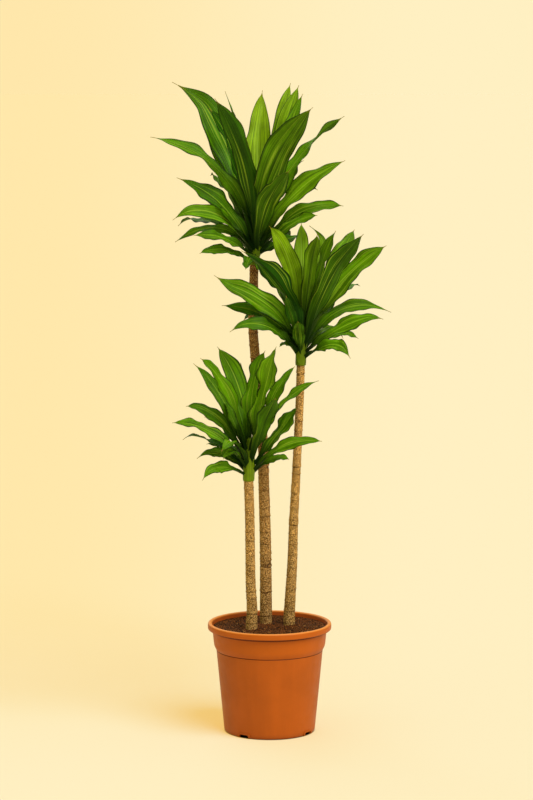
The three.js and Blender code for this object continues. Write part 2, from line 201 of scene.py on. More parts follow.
# %% [markdown]
# ## Running a geometry tree
#
# A geometry tree needs an object to run on. The object here is only a seedling: points, or a line.
# Its inputs are set by the sockets' identifiers before anything is evaluated, the grown shape is
# taken as a plain mesh, and the seedling with its modifier is thrown away.


# %% Grow a mesh from a seedling
def attribute(tree, name, kind="FLOAT"):
    return out(place(tree, "GeometryNodeInputNamedAttribute", {"Name": name}, data_type=kind))


def stored(tree, geometry, name, value, kind="FLOAT", domain="POINT"):
    """Writes a value on the geometry under a name."""
    inputs = {"Geometry": geometry, "Name": name, "Value": value}
    return out(place(tree, "GeometryNodeStoreNamedAttribute", inputs, data_type=kind, domain=domain))


def geometry_tree(name, numbers, **more):
    """A geometry tree whose inputs are a shape, the numbers under their names, and a material."""
    inputs = {"Geometry": ("Geometry", None), **more}
    for label, value in numbers.items():
        inputs[label] = ("Int" if isinstance(value, int) else "Float", value)
    inputs["Material"] = ("Material", None)
    return new_tree(name, "GeometryNodeTree", inputs, {"Geometry": ("Geometry", None)})


def end_tree(tree, given, result, geometry, smooth=True):
    """Ends a geometry tree with its shading, its copies made real, and its material."""
    shaded = place(tree, "GeometryNodeSetShadeSmooth", {"Geometry": geometry, "Shade Smooth": smooth})
    real = place(tree, "GeometryNodeRealizeInstances", {"Geometry": out(shaded)})
    painted = place(tree, "GeometryNodeSetMaterial",
                    {"Geometry": out(real), "Material": out(given, "Material")})
    plug(result.inputs["Geometry"], out(painted))
    print("tree", tree.name, "has", len(tree.nodes), "nodes")
    return tree


def seedling(name, points, edges=(), **values):
    """A mesh of loose points or a line, with one value per point under each name."""
    mesh = bpy.data.meshes.new(name)
    mesh.from_pydata([tuple(p) for p in points], list(edges), [])
    for label, column in values.items():
        vector = isinstance(column[0], Vector)
        layer = mesh.attributes.new(label, "FLOAT_VECTOR" if vector else "FLOAT", "POINT")
        for item, value in zip(layer.data, column):
            setattr(item, "vector" if vector else "value", value)
    return in_scene(name, mesh)


def evaluated_mesh(thing):
    """The plain mesh that an object's modifiers give."""
    depsgraph = bpy.context.evaluated_depsgraph_get()
    return bpy.data.meshes.new_from_object(
        thing.evaluated_get(depsgraph), preserve_all_data_layers=True, depsgraph=depsgraph
    )


def added(name, mesh):
    print(name, len(mesh.polygons), "faces")
    return in_scene(name, mesh)


def grow(name, start, tree, **values):
    """Runs a geometry tree on a seedling and gives the result as an object of its own."""
    modifier = start.modifiers.new(tree.name, "NODES")
    modifier.node_group = tree
    for socket in tree.interface.items_tree:
        if socket.in_out == "INPUT" and socket.name in values:
            modifier[socket.identifier] = values[socket.name]
    mesh = evaluated_mesh(start)
    mesh.name = name
    bpy.data.objects.remove(start)
    return added(name, mesh)


# %% [markdown]
# ## Skins over rings
#
# The pot, the soil, the drain notches and the shoots are all closed skins over rings of points. One
# helper joins each ring to the next, and a ring may be a single point, where a shape meets its axis.
# The winding of the faces is put right at the end, so a ring can be listed from either side.


# %% Skin
def circle_points(radius, sides):
    """Points on a circle round the Z axis, or the one point in its middle."""
    if not radius:
        return [(0.0, 0.0)]
    turns = [2 * math.pi * i / sides for i in range(sides)]
    return [(radius * math.cos(a), radius * math.sin(a)) for a in turns]


def skinned(name, rings):
    """A closed smooth mesh over rings of points, which are in millimetres."""
    build = bmesh.new()
    rings = [[build.verts.new((x * MM, y * MM, z * MM)) for x, y, z in ring] for ring in rings]
    sides = max(len(ring) for ring in rings)
    for i in range(sides):
        j = (i + 1) % sides
        for low, high in zip(rings, rings[1:]):
            near, far = i % len(low), i % len(high)
            corners = (low[near], high[far], high[j % len(high)], low[j % len(low)])
            build.faces.new(list(dict.fromkeys(corners)))
    for end in (rings[-1][::-1], rings[0]):
        if len(end) > 1:
            build.faces.new(end)
    bmesh.ops.recalc_face_normals(build, faces=build.faces)
    mesh = bpy.data.meshes.new(name)
    build.to_mesh(mesh)
    build.free()
    mesh.shade_smooth()
    return mesh


# %% [markdown]
# ## Shared surface effects
#
# Two effects turn up on more than one material, so each is a node group. Mottling is the faint
# unevenness of colour that plastic, soil, bark and leaves all have. Specks are small grains, dark or
# light, on the bark and in the soil, with their size and their share of the surface as inputs.

# %% Mottling and specks
EVEN = (1.0, 1.0, 1.0)  # a pattern that isn't stretched
MOTTLE_SPAN = (0.3, 0.7)  # what the noise has to reach for the darkest and the lightest
SPECK_EDGE = 0.04  # how soft a speck's edge is


def effect_group(name, numbers, outputs):
    """A shader group that also gives the place of a point, stretched as asked."""
    inputs = {label: ("Float", value) for label, value in numbers.items()}
    inputs["Stretch"] = ("Vector", EVEN)
    tree, given, result = new_tree(name, "ShaderNodeTree", inputs,
                                   {label: ("Float", None) for label in outputs})
    where = out(place(tree, "ShaderNodeTexCoord"), "Object") * out(given, "Stretch")
    return tree, given, result, where


def mottling_group():
    tree, given, result, where = effect_group(
        "mottling", {"Scale": 8.0, "Low": 0.8, "High": 1.1}, ["Factor"]
    )
    cloud = noise_at(tree, where, out(given, "Scale"), Detail=4.0, Roughness=0.6)
    factor = eased(cloud, *MOTTLE_SPAN, out(given, "Low"), out(given, "High"))
    plug(result.inputs["Factor"], factor)
    return tree


def specks_group():
    tree, given, result, where = effect_group(
        "specks", {"Scale": 400.0, "Share": 0.4}, ["Mask", "Height"]
    )
    grains = noise_at(tree, where, out(given, "Scale"), Detail=2.0, Roughness=0.5)
    share = out(given, "Share")
    plug(result.inputs["Mask"], eased(grains, share - SPECK_EDGE, share + SPECK_EDGE, 1.0, 0.0))
    plug(result.inputs["Height"], grains)
    return tree


MOTTLING = mottling_group()
SPECKS = specks_group()
print("shared effects:", MOTTLING.name, SPECKS.name)

# %% [markdown]
# ## Finishes
#
# Every finish is a Principled shader that is fed with colours and masks. The helpers here lay one
# colour over another as far as a mask says, make a colour lighter or darker, and turn a height into
# relief. A finish is then little more than a list of its layers.

# %% Building a material
def new_material(name):
    """An empty material with its Principled shader already plugged in."""
    material = bpy.data.materials.new(name)
    material.use_nodes = True
    tree = material.node_tree
    tree.nodes.clear()
    shader = tree.nodes.new("ShaderNodeBsdfPrincipled")
    end = tree.nodes.new("ShaderNodeOutputMaterial")
    tree.links.new(shader.outputs[0], end.inputs["Surface"])
    return material, tree, shader


def effect(tree, group, output=0, **inputs):
    node = tree.nodes.new("ShaderNodeGroup")
    node.node_tree = group
    for name, value in inputs.items():
        plug(node.inputs[name], value)
    return out(node, output)


def object_place(tree):
    return out(place(tree, "ShaderNodeTexCoord"), "Object")


def written(tree, name):
    """A number that the mesh carries under a name."""
    return out(place(tree, "ShaderNodeAttribute", attribute_name=name), "Fac")


def mixed(tree, factor, first, second, blend="MIX"):
    """A colour on the way from the first to the second."""
    node = place(tree, "ShaderNodeMix", data_type="RGBA", blend_type=blend)
    for number, value in ((0, factor), (6, first), (7, second)):
        plug(node.inputs[number], value)
    return out(node, 2)


def layered(tree, base, *layers):
    """Lays colours over a base one after the other, each as far as its mask says."""
    for mask, colour in layers:
        base = mixed(tree, mask, base, colour)
    return base


def dimmed(tree, colour, factor):
    """A colour made lighter or darker by a factor."""
    shade = place(tree, "ShaderNodeCombineColor", {"Red": factor, "Green": factor, "Blue": factor})
    return mixed(tree, 1.0, colour, out(shade), "MULTIPLY")


def gloss(shader, roughness, specular):
    plug(shader.inputs["Roughness"], roughness)
    shader.inputs["Specular IOR Level"].default_value = specular


def relief(tree, shader, height, distance, strength):
    bump = place(tree, "ShaderNodeBump", {"Height": height, "Distance": distance, "Strength": strength})
    plug(shader.inputs["Normal"], out(bump))


def rgb(red, green, blue):
    """A screen colour, 0 to 255 a channel, as the linear values that shaders use."""
    def linear(c):
        c = c / 255
        return c / 12.92 if c <= 0.04045 else ((c + 0.055) / 1.055) ** 2.4
    return (linear(red), linear(green), linear(blue), 1.0)


print("the pot's colour is", [round(c, 3) for c in rgb(178, 85, 12)])

# %% [markdown]
# ## The pot
#
# The pot is one injection moulding: a thin wall with a rolled lip, a shoulder band that lets pots
# nest, and drain notches through the foot. A turned shape is a section spun round an axis, so the
# section is written as corner points, each with the size of its round. The sizes follow the solid
# model. The crease at the step, the groove under the lip and the small rounds are added here.

# %% The pot's section
POT_SECTION = [
    # radius, height, round, all in millimetres
    (88, 0, 5), (103.2, 158.8, 0.3), (102.5, 159.5, 0.3), (103.7, 160.4, 0.5), (107.8, 168.5, 4),
    (110.9, 199, 0.3), (110.8, 202.6, 1), (114.4, 202.6, 1), (114.8, 200.2, 0.8), (119.6, 200, 2.4),
    (120, 212.5, 6), (112, 212.5, 4), (108.7, 199, 2), (105.5, 168.5, 5), (100.7, 159, 5), (86, 3, 4),
]
POT_MIDDLE = [(0, 0), (0, 3)]  # the floor's underside and top, on the axis
POT_SIDES = 192
LARGEST_ROUND = 0.45  # a round takes at most this share of the sides that it joins


def rounded(corners, first, last, steps=5):
    """A line through corner points, with each corner swapped for a small curve."""
    line = [Vector(first)]
    stops = [first] + [c[:2] for c in corners] + [last]
    for before, (x, y, size), after in zip(stops, corners, stops[2:]):
        corner = Vector((x, y))
        way_in = Vector(before) - corner
        way_out = Vector(after) - corner
        start = corner + way_in.normalized() * min(size, way_in.length * LARGEST_ROUND)
        end = corner + way_out.normalized() * min(size, way_out.length * LARGEST_ROUND)
        for i in range(steps + 1):
            t = i / steps
            line.append(start.lerp(corner, t).lerp(corner.lerp(end, t), t))
    line.append(Vector(last))
    return line


section = rounded(POT_SECTION, *POT_MIDDLE)
rings = [[(x, y, height) for x, y in circle_points(radius, POT_SIDES)] for radius, height in section]
pot = added("pot_shell", skinned("pot_shell", rings))

# %% [markdown]
# Four low arches let water out at the foot. The wall swells a little over each, where the moulding
# tool pushed it out, so a larger low arch is joined on first, standing just proud of the wall, and the
# opening is cut after it.

# %% Drain notches
NOTCHES = {"count": 4, "first": math.radians(-34), "width": 21, "height": 7, "corner": 3}
CORNER_GROWS = 0.6  # share of an arch's growth that its corners take
CORNER_STEPS = 5
# how much larger than the notch, lower edge, and from which radius to which, in millimetres
SWELLING = {"grow_by": 3.0, "foot": 2.5, "nearest": 87.2, "farthest": 89.9}
OPENING = {"grow_by": 0.0, "foot": -3.0, "nearest": 76, "farthest": 96}
POT_EDGE = math.radians(35)  # edges that turn by more than this stay sharp


def arch(name, angle, grow_by, foot, nearest, farthest):
    """A low arch that goes through the foot of the wall."""
    half = NOTCHES["width"] / 2 + grow_by
    top = NOTCHES["height"] + grow_by
    corner = NOTCHES["corner"] + grow_by * CORNER_GROWS
    outline = [(-half, foot), (half, foot)]
    for side, start in ((1, 0.0), (-1, 90.0)):
        for i in range(CORNER_STEPS + 1):
            a = math.radians(start + 90 * i / CORNER_STEPS)
            outline.append((side * (half - corner) + corner * math.cos(a),
                            top - corner + corner * math.sin(a)))
    mesh = skinned(name, [[(x, -radius, z) for x, z in outline] for radius in (nearest, farthest)])
    mesh.transform(Matrix.Rotation(angle, 4, "Z"))
    return added(name, mesh)


def combined(piece, tool, operation):
    """Joins or cuts a piece with a tool, and throws the tool away."""
    modifier = piece.modifiers.new("shape", "BOOLEAN")
    modifier.operation = operation
    modifier.object = tool
    modifier.solver = "EXACT"
    mesh = evaluated_mesh(piece)
    piece.modifiers.clear()
    piece.data = mesh
    bpy.data.objects.remove(tool)


for number in range(NOTCHES["count"]):
    angle = NOTCHES["first"] + number * 2 * math.pi / NOTCHES["count"]
    combined(pot, arch("notch_edge", angle, **SWELLING), "UNION")
    combined(pot, arch("notch_hole", angle, **OPENING), "DIFFERENCE")
pot.data.shade_smooth()
pot.data.set_sharp_from_angle(angle=POT_EDGE)
print("pot", len(pot.data.polygons), "faces after its notches")

# %% [markdown]
# The plastic is dyed through, so its colour is even, with a little mottling and faint upright flow
# lines. The band is a little lighter. The lip is paler along its top, a painted highlight, and the
# wall inside it is painted darker as the shade of the lip. Painted shade darkens the crease of the
# step and the groove under the lip, the plastic inside the notches is painted dark as their shade,
# and the foot is darker towards the bottom. It is satin: rough enough to have no mirror, smooth
# enough for a soft light along the lip. A very fine bump stands for the grain of the mould.

# %% Pot plastic
# where each change of colour starts and where it is full: heights or radii, in metres
BAND_LIGHTER = (0.155, 0.175)
# heights of the painted highlight along the top of the lip
LIP_HIGHLIGHT = (0.2095, 0.2122)
FOOT_DARKER = (0.012, 0.0)
INSIDE_LIP = (0.113, 0.111)
ABOVE_SOIL = (0.2, 0.204)
# radii inside which the plastic is painted dark as the shade in the notches
NOTCH_SHADE = (0.0868, 0.085)
SHADED_CREASES = [(0.1595, 0.0012), (0.1984, 0.0034)]  # height and reach of the painted shade in each, in metres
CREASE_SHADE_CORE = 0.3  # share of its reach over which the painted shade is full


# Painted shade: each crease is darkened where shade falls in it.
def painted_crease_shade(height):
    for crease, reach in SHADED_CREASES:
        distance = (height - crease).do("ABSOLUTE")
        yield eased(distance, reach, reach * CREASE_SHADE_CORE, 0.0, 0.85), rgb(72, 22, 0)


def pot_plastic():
    material, tree, shader = new_material("pot_plastic")
    where = object_place(tree)
    height = out(split(tree, where), "Z")
    radius = (where * (1.0, 1.0, 0.0)).do("LENGTH")
    clouds = effect(tree, MOTTLING, Scale=14.0, Low=0.93, High=1.05)
    flow = effect(tree, MOTTLING, Scale=40.0, Stretch=(1.0, 1.0, 0.06), Low=0.95, High=1.04)
    colour = layered(
        tree,
        dimmed(tree, rgb(178, 85, 12), clouds * flow),
        (eased(height, *BAND_LIGHTER, 0.0, 0.5), rgb(198, 96, 6)),
        # a painted highlight along the top of the lip
        (eased(height, *LIP_HIGHLIGHT, 0.0, 0.85), rgb(232, 146, 64)),
        # painted shade in the crease of the step and in the groove under the lip
        *painted_crease_shade(height),
        # darker towards the bottom
        (eased(height, *FOOT_DARKER, 0.0, 0.5), rgb(122, 54, 10)),
        # painted shade of the lip on the wall inside it
        (eased(radius, *INSIDE_LIP) * eased(height, *ABOVE_SOIL) * 0.5, rgb(128, 44, 6)),
        # painted shade inside the notches, on the plastic nearest the axis
        (eased(radius, *NOTCH_SHADE), rgb(34, 14, 4)),
    )
    plug(shader.inputs["Base Color"], colour)
    gloss(shader, effect(tree, MOTTLING, Scale=60.0, Low=0.42, High=0.54), 0.2)
    relief(tree, shader, noise_at(tree, where, 900.0), 0.0002, 0.35)
    return material


pot.data.materials.clear()
pot.data.materials.append(pot_plastic())
print("pot finish:", pot.data.materials[0].name)

# %% [markdown]
# ## The soil
#
# Potting compost is a crumbly mix of peat, bark and a few pale grains. Its surface is nearly level,
# rises a little at the wall, and has lumps of all sizes. A bump map alone would leave it flat where it
# meets the pot, so the surface is a fine round grid raised by noise, and loose crumbs lie on it.

# %% Lumpy surface
SOIL = {"level": 202.5, "edge": 204, "radius": 110.2, "lump": 1.6}  # in millimetres
RISES_FROM = 0.7  # share of the radius where it starts to rise
CALMER_EDGE = 0.6  # share of the lumps' height that is lost at the wall
LUMPS = ((22, 1.0), (6.5, 0.8), (2.6, 0.45))  # size in millimetres, and share of the height
LUMP_LAYER = 7  # which slice of the noise the lumps are
BURIED_RINGS = ((108.4, 199), (105.2, 168.5), (100.2, 159), (86, 9), (82, 3.6))  # radius, height


def soil_height(x, y):
    """Height of the soil in millimetres: lumps of three sizes, and a slight rise at the wall."""
    reach = math.hypot(x, y) / SOIL["radius"]
    rise = max(0.0, (reach - RISES_FROM) / (1 - RISES_FROM)) ** 2
    lumps = sum(noise.noise(Vector((x, y, LUMP_LAYER)) / size) * share for size, share in LUMPS)
    lumps *= SOIL["lump"] * (1 - CALMER_EDGE * reach ** 8)
    return SOIL["level"] + (SOIL["edge"] - SOIL["level"]) * rise + lumps


def soil_surface(rings=64, sides=160):
    surface = [
        [(x, y, soil_height(x, y)) for x, y in circle_points(SOIL["radius"] * ring / rings, sides)]
        for ring in range(rings + 1)
    ]
    below = [[(x, y, z) for x, y in circle_points(radius, sides)] for radius, z in BURIED_RINGS]
    return skinned("compost", surface + below)


soil = added("compost", soil_surface())

# %% [markdown]
# The crumbs are a scatter: points spread over the surface with a fixed seed, and a small rough lump
# on each, turned and sized by chance. Geometry Nodes make them because there are over a thousand, and
# each lump has only twenty faces. They keep clear of the rim, where they would poke through the wall.

# %% Crumbs
CRUMBS = {
    "Density": 34000.0, "Smallest": 0.0006, "Largest": 0.0019, "Reach": 0.105, "Lowest": 0.19, "Seed": 5,
}
ANY_TURN = (6.3, 6.3, 6.3)  # a full turn and a bit, about each axis
CRUMB_SHAPES = ((0.6, 0.5, 0.4), (1.3, 1.0, 0.8))  # the slimmest and the fattest
SHAPE_SEED, PALE_SEED = 9, 21


def by_chance(tree, low, high, seed):
    """A number or a vector between two, drawn for each point or copy."""
    vector = is_vector(high)
    kind, first, value = ("FLOAT_VECTOR", 0, 0) if vector else ("FLOAT", 2, 1)
    node = place(tree, "FunctionNodeRandomValue", {"Seed": seed}, data_type=kind)
    plug(node.inputs[first], low)
    plug(node.inputs[first + 1], high)
    return out(node, value)


def crumb_tree():
    tree, given, result = geometry_tree("crumbs", CRUMBS)
    parts = split(tree, out(place(tree, "GeometryNodeInputPosition")))
    reach = xyz(tree, X=out(parts, "X"), Y=out(parts, "Y")).do("LENGTH")
    within = reach.do("LESS_THAN", out(given, "Reach"))
    on_top = out(parts, "Z").do("GREATER_THAN", out(given, "Lowest"))
    scatter = place(tree, "GeometryNodeDistributePointsOnFaces",
                    {"Mesh": out(given, "Geometry"), "Density": out(given, "Density"),
                     "Seed": out(given, "Seed"), "Selection": within * on_top})
    lump = place(tree, "GeometryNodeMeshIcoSphere", {"Radius": 1.0, "Subdivisions": 1})
    turn = by_chance(tree, (0.0, 0.0, 0.0), ANY_TURN, out(given, "Seed"))
    size = by_chance(tree, out(given, "Smallest"), out(given, "Largest"), 0)
    shape = by_chance(tree, *CRUMB_SHAPES, SHAPE_SEED)
    spread = place(tree, "GeometryNodeInstanceOnPoints",
                   {"Points": out(scatter), "Instance": out(lump), "Rotation": turn,
                    "Scale": shape * size})
    paleness = by_chance(tree, 0.0, 1.0, PALE_SEED)
    named = stored(tree, out(spread), "paleness", paleness, domain="INSTANCE")
    return end_tree(tree, given, result, named, smooth=False)


crumb_grower = crumb_tree()


# %% [markdown]
# Peat is nearly black when wet and brown when dry, so the colour goes between the two with the
# specks, and a few grains are pale. It has almost no gloss, and is much darker at the foot, where it
# shows through the drain notches. The crumbs use the same material, and the number that each one drew
# says which of them are the pale grains.

# %% Soil finish
SOIL_FOOT_DARKER = (0.02, 0.12)  # heights between which the soil goes from darkest to its own colour, in metres
PALE_CRUMBS = (0.93, 0.95)  # crumbs that drew more than this are pale


def soil_finish():
    material, tree, shader = new_material("compost")
    height = out(split(tree, object_place(tree)), "Z")
    wet = effect(tree, SPECKS, "Mask", Scale=400.0, Share=0.53)
    dry = effect(tree, MOTTLING, Scale=55.0, Low=0.6, High=1.35)
    base = dimmed(tree, mixed(tree, wet, rgb(112, 62, 22), rgb(22, 9, 2)), dry)
    grit = effect(tree, SPECKS, "Mask", Scale=520.0, Share=0.37)
    base = mixed(tree, grit, base, rgb(150, 92, 40))
    # darker towards the foot, where it shows through the notches
    base = dimmed(tree, base, eased(height, *SOIL_FOOT_DARKER, 0.2, 1.0))
    pale = eased(written(tree, "paleness"), *PALE_CRUMBS)
    plug(shader.inputs["Base Color"], mixed(tree, pale, base, rgb(164, 120, 70)))
    gloss(shader, 0.95, 0.1)
    relief(tree, shader, effect(tree, SPECKS, "Height", Scale=420.0, Share=0.5), 0.0012, 0.8)
    return material


compost = soil_finish()
soil.data.materials.append(compost)
bed = in_scene("crumb_bed", soil.data.copy())
crumbs = grow("crumbs", bed, crumb_grower, Material=compost, **CRUMBS)

# %% [markdown]
# ## The canes
#
# A cane is a bare trunk. Where each old leaf fell it keeps a thin ring, and between the rings the
# bark is speckled and slightly lumpy. The shape follows a path, so a geometry tree makes it: the
# path becomes a smooth curve, a circle is swept along it, and every point is then moved out from
# the centre by the cane's radius, its taper and the rings.

# %% Canes
PLANTED = 74  # height of the canes' buried ends, in millimetres
CANES = {
    # points on the centre line from the soil up and radius at the soil and at the top, in
    # millimetres, how soon it slims down, distance from ring to ring in metres, and redness
    "low": {
        "line": [(-35, -14, 202), (-34, -13, 240), (-36.6, -11, 293), (-37.5, -9, 356),
                 (-38.3, -7, 417), (-40.4, -4, 490)],
        "radius": 11.4, "top_radius": 9.2, "flare": 4.0, "rings": 0.02, "redness": 0.12,
    },
    "middle": {
        "line": [(38, 27, 202), (40, 27, 250), (44.5, 28, 330), (46.5, 29, 400), (51, 30, 485),
                 (55.5, 31, 580), (58.4, 32, 647), (60, 32, 710)],
        "radius": 11.4, "top_radius": 7.9, "flare": 2.5, "rings": 0.022, "redness": 0.0,
    },
    "tall": {
        "line": [(-7, 40, 202), (-8, 42, 356), (-11.4, 44, 485), (-12, 45, 540), (-20, 47, 640),
                 (-28, 48, 726), (-32, 49, 784), (-31, 50, 850), (-30, 50, 903)],
        "radius": 11.9, "top_radius": 8.4, "flare": 1.0, "rings": 0.024, "redness": 1.0,
    },
}
CANE_INPUTS = {
    "Radius": 0.011, "Top radius": 0.009, "Flare": 1.0, "Soil": 0.2, "Ring spacing": 0.02,
    "Ring height": 0.0008, "Bark lumps": 0.0011, "Redness": 0.0, "Seed": 0.0, "Sides": 40,
    "Step": 0.001,
}
SEED_STEP = 3.7  # keeps the noise of one cane away from the next
# shares of the way from one ring to the next
RING_FULL, RING_GONE = 0.05, 0.3
GROOVE = (0.9, 0.96)
print("tops of the canes:", {name: cane["line"][-1] for name, cane in CANES.items()})


# %% Cane tree
def smooth_path(tree, given):
    """The path as a fine curve, whose points know their place, their share and their run."""
    path = place(tree, "GeometryNodeMeshToCurve", {"Mesh": out(given, "Geometry")})
    bent = place(tree, "GeometryNodeCurveSplineType", {"Curve": out(path)}, spline_type="CATMULL_ROM")
    fine = place(tree, "GeometryNodeSetSplineResolution", {"Geometry": out(bent), "Resolution": 24})
    even = place(tree, "GeometryNodeResampleCurve",
                 {"Curve": out(fine), "Length": out(given, "Step")}, mode="LENGTH")
    along = place(tree, "GeometryNodeSplineParameter")
    position = out(place(tree, "GeometryNodeInputPosition"))
    kept = stored(tree, out(even), "centre", position, kind="FLOAT_VECTOR")
    kept = stored(tree, kept, "share", out(along, "Factor"))
    return stored(tree, kept, "run", out(along, "Length"))


def scar_rings(tree, given, centre, side):
    """How far the rings stand out, and how deep the groove under each is, from 0 to 1."""
    run = attribute(tree, "run")
    seed = out(given, "Seed")
    drift = place(tree, "ShaderNodeTexNoise", {"Scale": 30.0, "Detail": 1.0, "W": run + seed},
                  noise_dimensions="1D")
    tilt = noise_at(tree, side + centre * 20.0 + EVEN * seed, 0.8)
    turns = run / out(given, "Ring spacing") + out(drift, "Fac") * 1.6 + tilt * 0.35
    within = turns.do("FRACT")
    ring = eased(within, 0.0, RING_FULL) * eased(within, RING_GONE, RING_FULL)
    groove = eased(within, *GROOVE) + eased(within, RING_FULL, 0.0) * 0.5
    strength = noise_at(tree, centre * 30.0 + side * 0.7, 1.0)
    return ring, groove, eased(strength, 0.35, 0.6, 0.35, 1.0)


def cane_tree():
    tree, given, result = geometry_tree("cane", CANE_INPUTS)
    circle = place(tree, "GeometryNodeCurvePrimitiveCircle",
                   {"Resolution": out(given, "Sides"), "Radius": 1.0})
    swept = place(tree, "GeometryNodeCurveToMesh",
                  {"Curve": smooth_path(tree, given), "Profile Curve": out(circle),
                   "Fill Caps": True})
    position = out(place(tree, "GeometryNodeInputPosition"))
    centre = attribute(tree, "centre", "FLOAT_VECTOR")
    side = (position - centre).do("NORMALIZE")
    ring, groove, faint = scar_rings(tree, given, centre, side)
    left = out(place(tree, "ShaderNodeMapRange",
                     {"Value": attribute(tree, "share"), "From Min": out(given, "Soil"),
                      "To Min": 1.0, "To Max": 0.0}))
    spare = out(given, "Radius") - out(given, "Top radius")
    width = out(given, "Top radius") + spare * left ** out(given, "Flare")
    rise = (ring - groove) * faint * out(given, "Ring height")
    bumps = (noise_at(tree, position, 140.0, Detail=3.0) - 0.5) * out(given, "Bark lumps")
    moved = place(tree, "GeometryNodeSetPosition",
                  {"Geometry": out(swept), "Position": centre + side * (width + rise + bumps)})
    kept = stored(tree, out(moved), "groove", groove * faint)
    kept = stored(tree, kept, "redness", out(given, "Redness"))
    return end_tree(tree, given, result, kept)


cane_grower = cane_tree()


# %% [markdown]
# The bark is tan, with fine dark specks that are thick near the soil and thin out upwards, pale specks
# between them, short upright streaks, and a dark line in each ring. The tall cane turns red-brown
# towards its head. The rings were stored on the mesh while it was made, so the paint lies exactly in
# the grooves.

# %% Bark
# heights between which each changes, in metres
BARK_PALER = (0.22, 0.6)
BARK_REDDER = (0.3, 0.85)
FEWER_SPECKS = (0.2, 0.7)


def bark_finish():
    material, tree, shader = new_material("bark")
    height = out(split(tree, object_place(tree)), "Z")
    red = written(tree, "redness") * eased(height, *BARK_REDDER, 0.3, 1.0)
    base = mixed(tree, eased(height, *BARK_PALER), rgb(202, 152, 78), rgb(222, 164, 84))
    base = mixed(tree, red, base, rgb(134, 76, 32))
    share = eased(height, *FEWER_SPECKS, 0.5, 0.475)
    streaks = effect(tree, SPECKS, "Mask", Scale=500.0, Stretch=(1.0, 1.0, 0.3), Share=0.45)
    pale = effect(tree, SPECKS, "Mask", Scale=860.0, Share=0.46)
    dark = effect(tree, SPECKS, "Mask", Scale=680.0, Stretch=(1.0, 1.0, 0.9), Share=share)
    colour = layered(
        tree,
        dimmed(tree, base, effect(tree, MOTTLING, Scale=60.0, Low=0.82, High=1.15)),
        (streaks * 0.5, rgb(112, 76, 34)),
        (pale * 0.6, rgb(250, 212, 136)),
        (dark * 0.85, rgb(48, 26, 6)),
        (written(tree, "groove") * 0.9, rgb(66, 38, 14)),
    )
    plug(shader.inputs["Base Color"], colour)
    gloss(shader, 0.82, 0.12)
    grain = effect(tree, SPECKS, "Height", Scale=1000.0, Stretch=(1.0, 1.0, 0.6))
    relief(tree, shader, grain, 0.0007, 0.6)
    return material


bark = bark_finish()
canes = {}
for number, (name, cane) in enumerate(CANES.items()):
    soil_point, top = cane["line"][0], cane["line"][-1]
    line = [(*soil_point[:2], PLANTED)] + cane["line"]
    start = seedling("cane_path", [Vector(p) * MM for p in line],
                     [(i, i + 1) for i in range(len(line) - 1)])
    values = {
        **CANE_INPUTS, "Radius": cane["radius"] * MM, "Top radius": cane["top_radius"] * MM,
        "Flare": cane["flare"], "Soil": (soil_point[2] - PLANTED) / (top[2] - PLANTED),
        "Ring spacing": cane["rings"], "Redness": cane["redness"], "Seed": SEED_STEP * number,
    }
    canes[name] = grow("stem_" + name, start, cane_grower, Material=bark, **values)

# %% [markdown]
# ## The leaves
#
# A corn plant's leaf is a long blade: slim where it clasps the shoot, widest past its middle and
# drawn out to a thread. It is folded along its midrib near the base, opens outwards, and its edges
# are wavy because they grew faster than its middle. One formula makes them all. The table says where
# each blade's middle and tip lie, how wide it is, and how its face is turned. The greens say how
# light each leaf of a head is, in hundredths.

